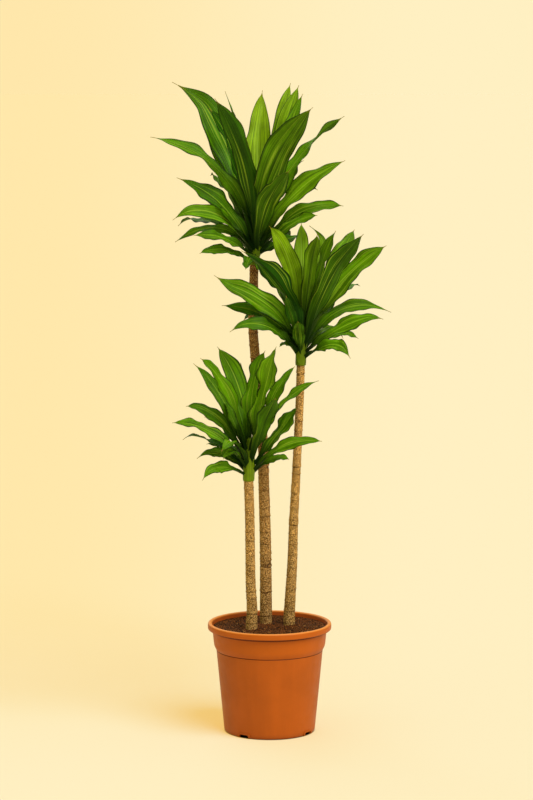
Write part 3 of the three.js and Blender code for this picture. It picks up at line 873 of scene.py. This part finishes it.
# %% Leaf table
HEADS = {
    # rows: root height, middle x y z, tip x y z, width, turn, twist, bend of the tip x z
    "low": {
        "shoot": (84, 11.6, 5, 2),
        "leaves": [
            (62, -46, 22, 147, -97, 48, 214, 27, -50, 0, -10, 8),
            (72, -38, -20, 170, -91, -48, 242, 32, -65, 0),
            (75, -14, 24, 163, -61, 56, 254, 42, -40, 0),
            (70, -4, 40, 147, -16, 84, 220, 14, 40, 0),
            (74, 6, 14, 164, 32, 22, 250, 40, 10, 0),
            (70, 27, -15, 168, 53, -25, 262, 52, 62, 0),
            (66, 44, 4, 153, 89, 4, 221, 26, 50, 0),
            (55, 30, -45, 116, 52, -80, 170, 36, -10, 0),
            (58, 55, -30, 142, 134, -45, 199, 25, 60, -30),
            (45, 59, -14, 97, 93, -24, 146, 33, 55, 0),
            (28, 68, -25, 71, 140, -40, 82, 25, 60, 0),
            (20, 46, 5, 42, 78, 10, 40, 16, 50, 0),
            (55, -58, 20, 117, -121, 30, 141, 27, -50, 0),
            (45, -71, -15, 97, -146, -20, 115, 27, -60, 30),
            (35, -43, 25, 62, -82, 45, 65, 17, -45, 0),
            (28, -50, 10, 51, -92, 15, 49, 21, -55, 0, -8, -8),
            (18, -49, -35, 32, -84, -58, 19, 25, -55, 0, -4, -10),
            (45, -24, -50, 80, -51, -80, 68, 26, -20, 0),
            (34, -30, -30, 62, -48, -60, 50, 23, -40, 0),
        ],
        "greens": (32, 45, 42, 26, 42, 62, 52, 42, 48, 30, 46, 42, 32, 42, 32, 28, 46, 38, 40),
        "back": (5, 148, 98, 168),
    },
    "middle": {
        "shoot": (106, 10.8, 5, 3),
        "leaves": [
            (90, -18, -14, 187, -61, -34, 270, 38, -110, 0),
            (90, 2, 38, 181, 2, 88, 271, 31, 0, 0),
            (92, 16, -38, 181, 30, -88, 257, 30, 0, 0),
            (88, 35, 26, 178, 45, 58, 256, 20, 20, 0, -28, 10),
            (88, 35, -16, 182, 66, -38, 261, 27, 70, 0),
            (86, 63, 30, 181, 105, 68, 258, 38, 45, 0),
            (50, 52, -44, 165, 117, -92, 258, 40, -38, 0),
            (70, 79, 0, 160, 164, -5, 231, 41, 60, 0),
            (45, 72, 25, 103, 164, 40, 107, 27, 55, 0, 12, -8),
            (38, 77, -30, 76, 151, -45, 101, 31, 60, 0, 6, -8),
            (30, 61, 35, 58, 113, 60, 46, 20, 50, 0),
            (22, 54, -40, 44, 89, -62, 31, 28, 55, 0, 5, -12),
            (58, -64, -32, 120, -160, -45, 163, 44, -74, 0, -6, 14),
            (46, -62, -20, 94, -152, -18, 117, 30, -55, 0),
            (34, -61, -40, 78, -130, -65, 80, 30, -55, 0, -6, -10),
            (24, -24, -12, 42, -41, -16, 37, 14, -30, 0),
            (60, -32, -50, 151, -114, -80, 226, 46, 25, 0),
            (62, -17, -45, 95, -29, -75, 140, 20, 10, 0),
            (30, -4, -28, 60, -6, -52, 89, 26, 0, 0),
        ],
        "greens": (82, 80, 68, 70, 58, 60, 40, 60, 40, 50, 40, 35, 42, 22, 28, 40, 14, 20, 40),
        "back": (7, 190, 22, 140),
    },
    "tall": {
        "shoot": (76, 9.6, 4.5, 8),
        "leaves": [
            (55, -46, 28, 212, -123, 60, 342, 58, -48, -10, -36, 8),
            (57, -36, -30, 205, -84, -70, 300, 30, -75, 0),
            (60, -41, 26, 153, -94, 60, 256, 26, -55, 0),
            (41, -16, -52, 190, -73, -110, 319, 42, 20, 0),
            (60, -21, 48, 208, -57, 110, 332, 18, 62, 0),
            (51, 5, 46, 189, 16, 110, 334, 50, 0, 0),
            (60, 41, 44, 223, 71, 100, 348, 30, 40, 0),
            (60, 46, 30, 219, 87, 70, 344, 34, 50, 0),
            (58, 52, 18, 210, 94, 40, 327, 27, 60, 0),
            (55, 29, -52, 176, 113, -110, 310, 58, -40, 0, -2, -8),
            (41, 24, -58, 115, 68, -125, 186, 44, -20, 0),
            (50, 66, -15, 179, 173, -10, 285, 38, 215, -290),
            (45, 73, -25, 133, 174, -35, 201, 41, 60, 0),
            (38, 83, 0, 98, 172, 0, 113, 32, 55, 0),
            (32, 68, -25, 77, 121, -45, 97, 24, 60, 0),
            (26, 43, 50, 38, 89, 95, 52, 25, 30, 0),
            (41, -63, -10, 177, -199, 5, 245, 36, -60, 40),
            (37, -58, -15, 113, -134, -20, 162, 38, -60, 0, -14, 6),
            (31, -67, -25, 96, -150, -45, 98, 30, -50, -40, -5, -10),
            (27, -66, 20, 69, -153, 28, 42, 21, -60, 20),
            (25, -54, -50, 53, -114, -90, 61, 25, -50, 0),
            (8, -56, -40, 31, -103, -70, 26, 20, -60, 0),
            (22, -8, -28, 14, -16, -50, -6, 26, 0, 0),
            (14, 10, -25, 4, 22, -38, -24, 22, 0, 0),
        ],
        # the 100 here also stands in for the whitish sheen on that leaf, a painted highlight
        "greens": (27, 8, 30, 30, 50, 100, 85, 80, 60, 58, 45, 50, 64, 55, 35, 20, 40, 26, 50, 50,
                   35, 30, 28, 32),
        "back": (8, 220, 30, 150),
    },
}
print("listed leaves:", {name: len(head["leaves"]) for name, head in HEADS.items()})

# %% [markdown]
# The photograph shows only the near side of each head. The far side is filled by rule: from one leaf
# to the next the direction moves on by the golden section, within the fan between two directions, so
# no two leaves stand in line. The lower ones are flatter and more arched, as older leaves are.

# %% From the table to leaves
SHOOT_BENDS_BY = 0.6  # share of its height over which a shoot leans
ROOT_BELOW = 0.6  # a midrib starts at this share of the height where its leaf comes out
ROOT_INSIDE = 0.5  # and at this share of the shoot's radius
PHASE_STEP = 1.7  # how much further on each leaf's waves start
GOLDEN = 0.618
FAR = {
    # from the lowest leaf to the highest: degrees above level, and shares of the shoot's height and
    # of the leaf's length
    "climb": (4, 72), "root": (0.3, 0.85), "arch": (0.17, 0.06),
    # from the least to the most: shares of the longest leaf, and of the leaf's length
    "length": (0.8, 1), "width": (0.15, 0.18),
    # share of the fan where the first one points, share of the length where its middle is, the most
    # that a face is turned, in degrees, and the droop of the tip, in millimetres
    "first": 0.31, "middle": 0.52, "turn": 25, "droop": 8,
}


def smoothstep(x, start, end):
    t = min(1.0, max(0.0, (x - start) / (end - start)))
    return t * t * (3 - 2 * t)


def lerp(a, b, t):
    return a + (b - a) * t


def drawn(seed):
    """A value between 0 and 1 that is always the same for the same seed."""
    value = math.sin(seed * 12.9898) * 43758.5453
    return value - math.floor(value)


def direction(way, climb):
    """A unit vector from two angles in degrees, one round from +X and one up from level."""
    way, climb = math.radians(way), math.radians(climb)
    return Vector((math.cos(way) * math.cos(climb), math.sin(way) * math.cos(climb), math.sin(climb)))


def shoot_axis(shoot, height):
    """Where the shoot's axis is at a height above the cane."""
    tall, _, _, lean = shoot
    return Vector((lean * smoothstep(height, 0, tall * SHOOT_BENDS_BY), 0, height))


def blade_root(shoot, height, tip):
    tall, radius, top_radius, _ = shoot
    side = Vector((tip[0], tip[1], 0)).normalized()
    foot = height * ROOT_BELOW
    return shoot_axis(shoot, foot) + side * lerp(radius, top_radius, foot / tall) * ROOT_INSIDE


def listed_leaf(shoot, row, phase):
    height, mx, my, mz, tx, ty, tz, width, turn, twist = row[:10]
    hook = row[10:] or (0, 0)
    return {
        "root": blade_root(shoot, height, (tx, ty)), "middle": Vector((mx, my, mz)),
        "tip": Vector((tx, ty, tz)), "hook": Vector((hook[0], 0, hook[1])), "width": width,
        "turn": math.radians(turn), "twist": math.radians(twist), "phase": phase,
    }


def far_leaf(head, number, phase):
    shoot = head["shoot"]
    count, longest, start, end = head["back"]
    rise = (number + 0.5) / count
    way = lerp(start, end, (number * GOLDEN + FAR["first"]) % 1)
    length = longest * lerp(*FAR["length"], math.sin(math.pi * rise))
    reach = direction(way, lerp(*FAR["climb"], rise)) * length
    root = blade_root(shoot, shoot[0] * lerp(*FAR["root"], rise), reach)
    lifted = Vector((0, 0, length * lerp(*FAR["arch"], rise)))
    return {
        "root": root, "middle": root + reach * FAR["middle"] + lifted, "tip": root + reach,
        "hook": Vector((0, 0, -FAR["droop"])), "width": length * lerp(*FAR["width"], drawn(phase)),
        "turn": math.radians(FAR["turn"]) * lerp(-1, 1, drawn(phase + 1)), "twist": 0.0,
        "phase": phase,
    }


def leaves_of(head, order):
    """Every leaf of a head, the listed ones first."""
    leaves = []
    for row in head["leaves"]:
        leaves.append(listed_leaf(head["shoot"], row, order + len(leaves) * PHASE_STEP))
    for number in range(head["back"][0]):
        leaves.append(far_leaf(head, number, order + len(leaves) * PHASE_STEP))
    return leaves


print("leaves in all:", {name: len(leaves_of(head, 0)) for name, head in HEADS.items()})

# %% [markdown]
# The tree below turns each point of a flat box into a point of a blade. The box has one cell a few
# millimetres long for every part of the leaf and two faces, so the blade comes out closed and thick.
# The position is the midrib, a curve through the leaf's middle, plus steps across and up from it.
# The same stored numbers, how far along and how far across, later place the veins.

# %% Blade inputs
BLADE = {
    # thickness, thread and midrib in millimetres, other widths and heights as shares of the blade's
    # width, places as shares of its length, and angles in radians
    "Cells across": 12, "Cells along": 52, "Thickness": 0.9, "Base width": 0.45, "Widest at": 0.62,
    "Thread from": 0.975, "Thread width": 0.9, "Edge wave": 0.15, "Waves": 2.3, "Edge shift": 1.3,
    "Frill": 0.06, "Bulge": 0.1, "Midrib": 0.7, "Base fold": math.radians(60),
    "Tip fold": math.radians(13),
}
# from where to where along the blade each sets in, as shares of its length
WIDENS_FROM = -0.05
TURN_AND_WAVES = (0.0, 0.35)
FRILL_SETS_IN = (0.1, 0.4)
FOLD_OPENS = (0.0, 0.5)
MIDRIB_RISES = (1.0, 0.6)
HOOK_FROM = 0.82
HOOK_SPAN = 1 - HOOK_FROM
# shapes of the formula's curves
TIP_POWER, TIP_EASE = 8.0, 1.1  # how suddenly the blade narrows to its thread
BULGE_LAG = 1.2  # radians from a wave to its bulge
FRILL_WAVES, FRILL_PHASE = 2.7, 3.0  # times the count and the phase of the waves
FRILL_SHIFT = 1.4  # radians from the midrib to the edge
SOFT_FOLD = 0.015  # rounds the bottom of the fold
MIDRIB_SHARP = 90.0  # the larger, the narrower the midrib
THIN_EDGE = 0.45  # share of the thickness that is gone at the edge
SHARP_TURN = 0.8  # radians from which an edge of the mesh stays sharp


# %% Blade tree
def blade_sheet(tree, given):
    """One flat box for each point, whose corners know how far across, along and through they are."""
    box = place(tree, "GeometryNodeMeshCube",
                {"Size": (2.0, 1.0, 2.0), "Vertices X": out(given, "Cells across") + 1,
                 "Vertices Y": out(given, "Cells along") + 1, "Vertices Z": 2})
    parts = split(tree, out(place(tree, "GeometryNodeInputPosition")))
    flat = stored(tree, out(box), "across", out(parts, "X"))
    flat = stored(tree, flat, "along", out(parts, "Y") + 0.5)
    flat = stored(tree, flat, "face", out(parts, "Z"))
    copies = place(tree, "GeometryNodeInstanceOnPoints",
                   {"Points": out(given, "Geometry"), "Instance": flat})
    return out(place(tree, "GeometryNodeRealizeInstances", {"Geometry": out(copies)}))


def midrib(tree, v):
    """The midrib's point at a share of the length, and the directions across and up from it."""
    root, middle, tip, hook = (
        attribute(tree, name, "FLOAT_VECTOR") for name in ("root", "middle", "tip", "hook")
    )
    bend = middle * 2.0 - (root + tip) * 0.5
    past = ((v - HOOK_FROM) / HOOK_SPAN).do("MAXIMUM", 0.0)
    rest = 1.0 - v
    rib = root * (rest * rest) + bend * (v * rest * 2.0) + tip * (v * v) + hook * (past * past)
    slope = (bend - root) * (rest * 2.0) + (tip - bend) * (v * 2.0) + hook * (past * (2 / HOOK_SPAN))
    along = slope.do("NORMALIZE")
    reach = split(tree, tip - root)
    level = xyz(tree, X=0.0 - out(reach, "Y"), Y=out(reach, "X"))
    across = (level - along * level.do("DOT_PRODUCT", along)).do("NORMALIZE")
    angle = attribute(tree, "turn") * eased(v, *TURN_AND_WAVES) + attribute(tree, "twist") * v
    across = out(place(tree, "ShaderNodeVectorRotate",
                       {"Vector": across, "Axis": along, "Angle": angle}))
    return rib, across, along.do("CROSS_PRODUCT", across)


def blade_point(tree, given, u, v, face):
    """Where a corner goes, in millimetres from the cane's top."""
    width, phase = attribute(tree, "width"), attribute(tree, "phase")
    rib, across, up = midrib(tree, v)
    distance = u.do("ABSOLUTE")
    blade_share = (v / out(given, "Thread from")).do("MINIMUM", 1.0)
    taper = (1.0 - blade_share ** TIP_POWER) ** TIP_EASE
    count = v * out(given, "Waves") * (2 * math.pi)
    waving = count + phase + u * out(given, "Edge shift")
    swell = (waving + BULGE_LAG).do("SINE")
    frill = (count * FRILL_WAVES + phase * FRILL_PHASE + u * FRILL_SHIFT).do("SINE")
    opening = eased(v, WIDENS_FROM, out(given, "Widest at"), out(given, "Base width"), 1.0)
    full = width * opening * taper * (1.0 + swell * out(given, "Bulge"))
    half = full.do("MAXIMUM", out(given, "Thread width")) * 0.5
    fold = eased(v, *FOLD_OPENS, out(given, "Base fold"), out(given, "Tip fold"))
    wave = width * waving.do("SINE") * eased(v, *TURN_AND_WAVES) * taper * out(given, "Edge wave")
    small = width * frill * eased(v, *FRILL_SETS_IN) * taper * out(given, "Frill")
    trough = (u * u + SOFT_FOLD) ** 0.5
    lift = (trough - 0.5) * half * fold.do("SINE") + wave * distance + small * distance ** 3.0
    # the midrib stands out below the blade, and hardly above it
    keel = (u * u * -MIDRIB_SHARP).do("EXPONENT") * out(given, "Midrib") * eased(v, *MIDRIB_RISES)
    keel = keel * (0.45 - face * 0.55)
    thick = out(given, "Thickness") * (1.0 - distance ** 4.0 * THIN_EDGE) * 0.5
    tilt = u.do("SIGN") * fold
    point = rib + across * (u * half * fold.do("COSINE")) + up * lift
    point = point + up * (face * thick * tilt.do("COSINE") - keel * 0.6)
    return point - across * (face * thick * tilt.do("SINE"))


def blade_tree():
    tree, given, result = geometry_tree("blade", BLADE, Foot=("Vector", None))
    sheet = blade_sheet(tree, given)
    u, v, face = (attribute(tree, name) for name in ("across", "along", "face"))
    point = blade_point(tree, given, u, v, face) + out(given, "Foot")
    moved = out(place(tree, "GeometryNodeSetPosition", {"Geometry": sheet, "Position": point * MM}))
    page = xyz(tree, X=u * 0.5 + 0.5, Y=v)
    mapped = stored(tree, moved, "UVMap", page, kind="FLOAT2", domain="CORNER")
    corner = place(tree, "GeometryNodeInputMeshEdgeAngle")
    sharp = out(corner, "Unsigned Angle").do("GREATER_THAN", SHARP_TURN)
    creased = stored(tree, mapped, "sharp_edge", sharp, kind="BOOLEAN", domain="EDGE")
    return end_tree(tree, given, result, creased)


blade_grower = blade_tree()


# %% [markdown]
# A leaf's green mostly says its age: the oldest, lowest blades are deep, and the young ones near
# the top are almost lime. Some of the lightest greens also stand in for a sheen, a painted
# highlight. Along each blade run a pale midrib and fine parallel veins, with broader stripes among
# them, and narrow pale streaks that are a painted highlight along the veins. The upper face is waxy,
# with a soft sheen, while the underside is duller and more olive. The edges are a dark line, the
# base is painted a deep green as the shade where the leaves crowd round the shoot, and the thread at
# the tip is dry and yellow.

# %% Leaf finish
VEINS = 50.0  # radians of vein from the midrib to the edge
STRIPES = (5.5, 0.8, 7.3)  # how fast the broad stripes change across, along and from leaf to leaf
GLINTS = (10.0, 1.2, 4.1)  # the same for the narrow streaks: pale ones of painted highlight, and dark ones
# shares of the half width and of the length, from where each starts to where it is full
MIDRIB_LINE = (0.06, 0.02)
EDGE_LINE = (0.84, 0.97)
DRY_TIP = (0.94, 0.99)


def leaf_finish():
    material, tree, shader = new_material("leaf")
    u, v, face, lightness, phase = (
        written(tree, name) for name in ("across", "along", "face", "lightness", "phase")
    )

    def stripes(steps, **more):
        across, along, leaf_step = steps
        where = xyz(tree, X=u * across, Y=v * along, Z=phase * leaf_step)
        return noise_at(tree, where, 1.0, **more)

    distance = u.do("ABSOLUTE")
    upper = mixed(tree, eased(lightness, 0.0, 0.5), rgb(30, 84, 0), rgb(90, 140, 0))
    upper = mixed(tree, eased(lightness, 0.5, 1.0), upper, rgb(138, 176, 16))
    under = mixed(tree, eased(lightness, 0.0, 1.0), rgb(26, 76, 0), rgb(92, 130, 0))
    base = mixed(tree, eased(face, 0.2, -0.2), upper, under)
    base = dimmed(tree, base, effect(tree, MOTTLING, Scale=26.0, Low=0.84, High=1.14))
    broad = stripes(STRIPES, Detail=4.0, Roughness=0.8)
    base = dimmed(tree, base, eased(broad, 0.34, 0.66, 0.56, 1.45))
    veins = (u * VEINS).do("SINE") * 0.5 + 0.5
    base = dimmed(tree, base, 1.06 - veins * 0.2)
    glint = stripes(GLINTS, Detail=3.0)
    line = mixed(tree, eased(face, -0.2, 0.2), rgb(30, 62, 0), rgb(158, 196, 50))
    dry = eased(v, *DRY_TIP)
    colour = layered(
        tree,
        base,
        # painted highlight: narrow pale streaks of glint along the veins
        (eased(glint, 0.56, 0.68) * eased(lightness, 0.0, 0.6, 0.35, 0.65), rgb(170, 200, 56)),
        (eased(glint, 0.44, 0.3, 0.0, 0.35), rgb(10, 50, 0)),
        (eased(distance, *MIDRIB_LINE) * eased(v, 0.98, 0.8) * 0.7, line),
        # painted shade: the blade's base darkened where the leaves crowd round the shoot
        (eased(v, 0.04, 0.5, 0.9, 0.0), rgb(4, 34, 0)),
        (eased(distance, *EDGE_LINE) * (1.0 - dry) * 0.85, rgb(18, 40, 0)),
        (dry, rgb(150, 130, 50)),
    )
    plug(shader.inputs["Base Color"], colour)
    gloss(shader, eased(face, -0.5, 0.5, 0.6, 0.42), 0.09)
    relief(tree, shader, veins * 0.4 + broad, 0.0012, 0.6)
    return material


leaf = leaf_finish()
print("leaf finish:", leaf.name)

# %% [markdown]
# A head is grown in one go. Its seedling has a point for each leaf, and the point carries that leaf's
# own numbers, its green among them, so the tree and the finish are the same for all the leaves.

# %% Grow the heads
def lightness_of(head, leaf_data, number):
    """0 for the deepest green and 1 for the lightest. Leaves that aren't listed go by their place."""
    if number < len(head["greens"]):
        return head["greens"][number] / 100
    rise = leaf_data["root"].z / head["shoot"][0]
    return min(1.0, max(0.0, 0.7 * rise + 0.4 * (drawn(number + 0.5) - 0.5)))


blades = {}
for order, (name, head) in enumerate(HEADS.items()):
    leaves = leaves_of(head, order)
    columns = {key: [leaf_data[key] for leaf_data in leaves] for key in leaves[0]}
    columns["lightness"] = [lightness_of(head, leaf_data, i) for i, leaf_data in enumerate(leaves)]
    start = seedling("leaf_points", [(0, 0, 0)] * len(leaves), **columns)
    blades[name] = grow("leaves_" + name, start, blade_grower, Foot=Vector(CANES[name]["line"][-1]),
                        Material=leaf, **BLADE)

# %% [markdown]
# ## The shoots
#
# Between the cane and the leaves is the green shoot. It is made of the clasping bases of the leaves,
# one round the other, so their edges run up it as low slanting ridges. A ring of points is moved in
# and out by a saw-tooth that turns as it climbs, which gives those overlapping edges.

# %% Shoots
# share of the height, and thickness from the radius at the top, 0, to the one at the foot, 1
SHOOT_OUTLINE = [(0, 0.85), (0.06, 1), (0.35, 0.9), (0.7, 0.5), (0.94, 0), (1, -0.4)]
SHEATHS = {"around": 4, "climb": 1.7, "wander": 0.12, "wanders": 9, "height": 0.9, "sunk": 0.5}
SHEATH_RISES = (0.0, 0.85)  # shares of the way from one sheath's edge to the next
SHEATH_FALLS = (1.0, 0.93)


def outline_at(share):
    for (low, thick_low), (high, thick_high) in zip(SHOOT_OUTLINE, SHOOT_OUTLINE[1:]):
        if share <= high:
            return lerp(thick_low, thick_high, (share - low) / (high - low))
    return SHOOT_OUTLINE[-1][1]


def shoot_rings(shoot, foot, rings=70, sides=60):
    tall, radius, top_radius, _ = shoot
    for share in (ring / rings for ring in range(rings + 1)):
        middle = shoot_axis(shoot, share * tall) + foot
        smooth = lerp(top_radius, radius, outline_at(share))
        turned = share * SHEATHS["climb"] + SHEATHS["wander"] * math.sin(share * SHEATHS["wanders"])
        row = []
        for i, (x, y) in enumerate(circle_points(1.0, sides)):
            edge = (i / sides * SHEATHS["around"] + turned) % 1
            sheath = smoothstep(edge, *SHEATH_RISES) * smoothstep(edge, *SHEATH_FALLS)
            sheath = SHEATHS["height"] * sheath - SHEATHS["sunk"]
            row.append(middle + Vector((x, y, 0)) * (smooth + sheath * smoothstep(share, 0, 0.1)))
        yield row


print("heights of the shoots:", {name: head["shoot"][0] for name, head in HEADS.items()})

# %% [markdown]
# The sheaths are yellower than the blades that grow from them, and have fine upright lines.

# %% Sheath finish
SHEATH_LINES = {"Scale": 170.0, "Stretch": (1.0, 1.0, 0.05)}


def sheath_finish():
    material, tree, shader = new_material("sheath")
    clouds = effect(tree, MOTTLING, Scale=30.0, Low=0.75, High=1.2)
    lines = effect(tree, MOTTLING, Low=0.75, High=1.2, **SHEATH_LINES)
    plug(shader.inputs["Base Color"], dimmed(tree, dimmed(tree, rgb(96, 120, 4), clouds), lines))
    gloss(shader, 0.5, 0.15)
    relief(tree, shader, effect(tree, MOTTLING, Low=0.0, High=1.0, **SHEATH_LINES), 0.0006, 0.5)
    return material


sheath = sheath_finish()
shoots = {}
for name, head in HEADS.items():
    rings = shoot_rings(head["shoot"], Vector(CANES[name]["line"][-1]))
    shoots[name] = added("shoot_" + name, skinned("shoot_" + name, rings))
    shoots[name].data.materials.append(sheath)

# %% [markdown]
# ## Floor, air and light
#
# The ground and backdrop are one pale yellow with no line between them, a little deeper on the
# left. A very large floor does that, as long as the world behind it has the same colours, so both
# take them from the same formula: far away it depends only on the direction, and near the plant the
# floor is pale all round. This grading is painted light: deeper where the light falls off on the
# left, and a painted pool of light in front of the plant. Where the lamps don't reach, the floor is
# yellower, so part of its light is its own and a strong yellow, as on a lit backdrop, and the lamps
# make it pale.

# %% Floor
LEFT, RIGHT = rgb(255, 231, 171), rgb(255, 240, 194)  # the stage as the camera sees it, with painted light: deeper on the left
OWN_LIGHT = (0.975, 0.395, 0.005, 1.0), (0.975, 0.475, 0.03, 1.0)  # left and right
OWN_STRENGTH = 0.82
FLOOR_COLOUR = (0.17, 0.41, 0.395, 1.0), (0.17, 0.41, 0.51, 1.0)  # left and right
FLOOR_REACH = 1500.0  # metres, from the middle to each side
SOFT_MIDDLE = 5.0  # metres over which the floor's two colours run into each other
# a painted pool of light, centred in front of the plant
PAINTED_LIGHT_POOL = {"y": -0.8, "inside": 0.4, "outside": 2.2}
SHADE_UNDER_POT = (0.084, 0.09)  # radii between which the floor under the pot is painted dark, as shade


def towards_right(share):
    """0 on the stage's left and 1 on its right."""
    return eased(share, -0.1, 0.07)


def floor_finish():
    material, tree, shader = new_material("floor")
    where = object_place(tree)
    reach = where.do("LENGTH")
    # painted light: the floor is graded, deeper towards the left where the light falls off
    side = towards_right(out(split(tree, where), "X") / (reach + SOFT_MIDDLE))
    from_patch = (where - (0.0, PAINTED_LIGHT_POOL["y"], 0.0)).do("LENGTH")
    side = side.do("MAXIMUM", eased(from_patch, PAINTED_LIGHT_POOL["outside"], PAINTED_LIGHT_POOL["inside"]))
    # painted shade under the pot: the floor's own light and colour fade out there
    unshaded_floor = eased(reach, *SHADE_UNDER_POT)
    for socket, ends in (("Emission Color", OWN_LIGHT), ("Base Color", FLOOR_COLOUR)):
        plug(shader.inputs[socket], dimmed(tree, mixed(tree, side, *ends), unshaded_floor))
    gloss(shader, 1.0, 0.0)
    shader.inputs["Emission Strength"].default_value = OWN_STRENGTH
    return material


floor_mesh = bpy.data.meshes.new("floor")
corners = [(x * FLOOR_REACH, y * FLOOR_REACH, 0) for x, y in ((-1, -1), (1, -1), (1, 1), (-1, 1))]
floor_mesh.from_pydata(corners, [], [(0, 1, 2, 3)])
floor_mesh.materials.append(floor_finish())
floor = added("floor", floor_mesh)

# %% [markdown]
# The light is broad, so the shadow is soft. The key comes from the front on the right, and two weak
# lamps on the left, one high up and one behind, lift the other side. A yellow world that lights the
# plant from all sides fills the rest, and the camera sees the stage's own colours in place of it.

# %% Air and lamps
FILL = {"Color": (0.9, 0.94, 0.42, 1.0), "Strength": 0.45}
LAMP_COLOUR = (1.0, 0.94, 1.03)
LAMPS = {
    # azimuth, with 0 behind the camera and 90 on the right, elevation, strength, and breadth
    "key": (42, 50, 2.5, 42), "top": (-70, 66, 0.3, 60), "back": (-160, 35, 0.55, 50),
}

world = bpy.data.worlds.new("air")
world.use_nodes = True
bpy.context.scene.world = world
air = world.node_tree
air.nodes.clear()
way = split(air, out(place(air, "ShaderNodeTexCoord"), "Generated"))
# the backdrop graded as the floor is, painted light falling off to the left
shade = mixed(air, towards_right(out(way, "X")), LEFT, RIGHT)
seen = place(air, "ShaderNodeBackground", {"Color": shade, "Strength": 1.0})
fill = place(air, "ShaderNodeBackground", FILL)
path = place(air, "ShaderNodeLightPath")
either = place(air, "ShaderNodeMixShader", {0: out(path, "Is Camera Ray"), 1: out(fill), 2: out(seen)})
place(air, "ShaderNodeOutputWorld", {"Surface": out(either)})

for name, (azimuth, elevation, strength, breadth) in LAMPS.items():
    lamp = bpy.data.lights.new(name, "SUN")
    lamp.energy = strength
    lamp.angle = math.radians(breadth)
    lamp.color = LAMP_COLOUR
    towards = direction(azimuth - 90, elevation)
    in_scene(name, lamp).rotation_euler = towards.to_track_quat("Z", "Y").to_euler()
bpy.context.scene.view_settings.view_transform = "Standard"
print("floor and world, left to right:", [round(c, 2) for c in LEFT + RIGHT])

# %% [markdown]
# ## What stands for what
#
# Each fine piece now takes the place of its solid, which stays as the shape that things bump into.
# All of them ride on the one body that the plant has.

# %% Hand over
for piece, node, finish in [
    (pot, "pot", "pot_plastic"), (soil, "soil", "soil"), (crumbs, "soil", "soil"),
    *[(canes[n], "cane_" + n, "bark") for n in CANES],
    *[(blades[n], "crown_" + n, "leaf") for n in HEADS],
    *[(shoots[n], "crown_" + n, "leaf") for n in HEADS],
]:
    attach(piece, "root")
    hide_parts(node)
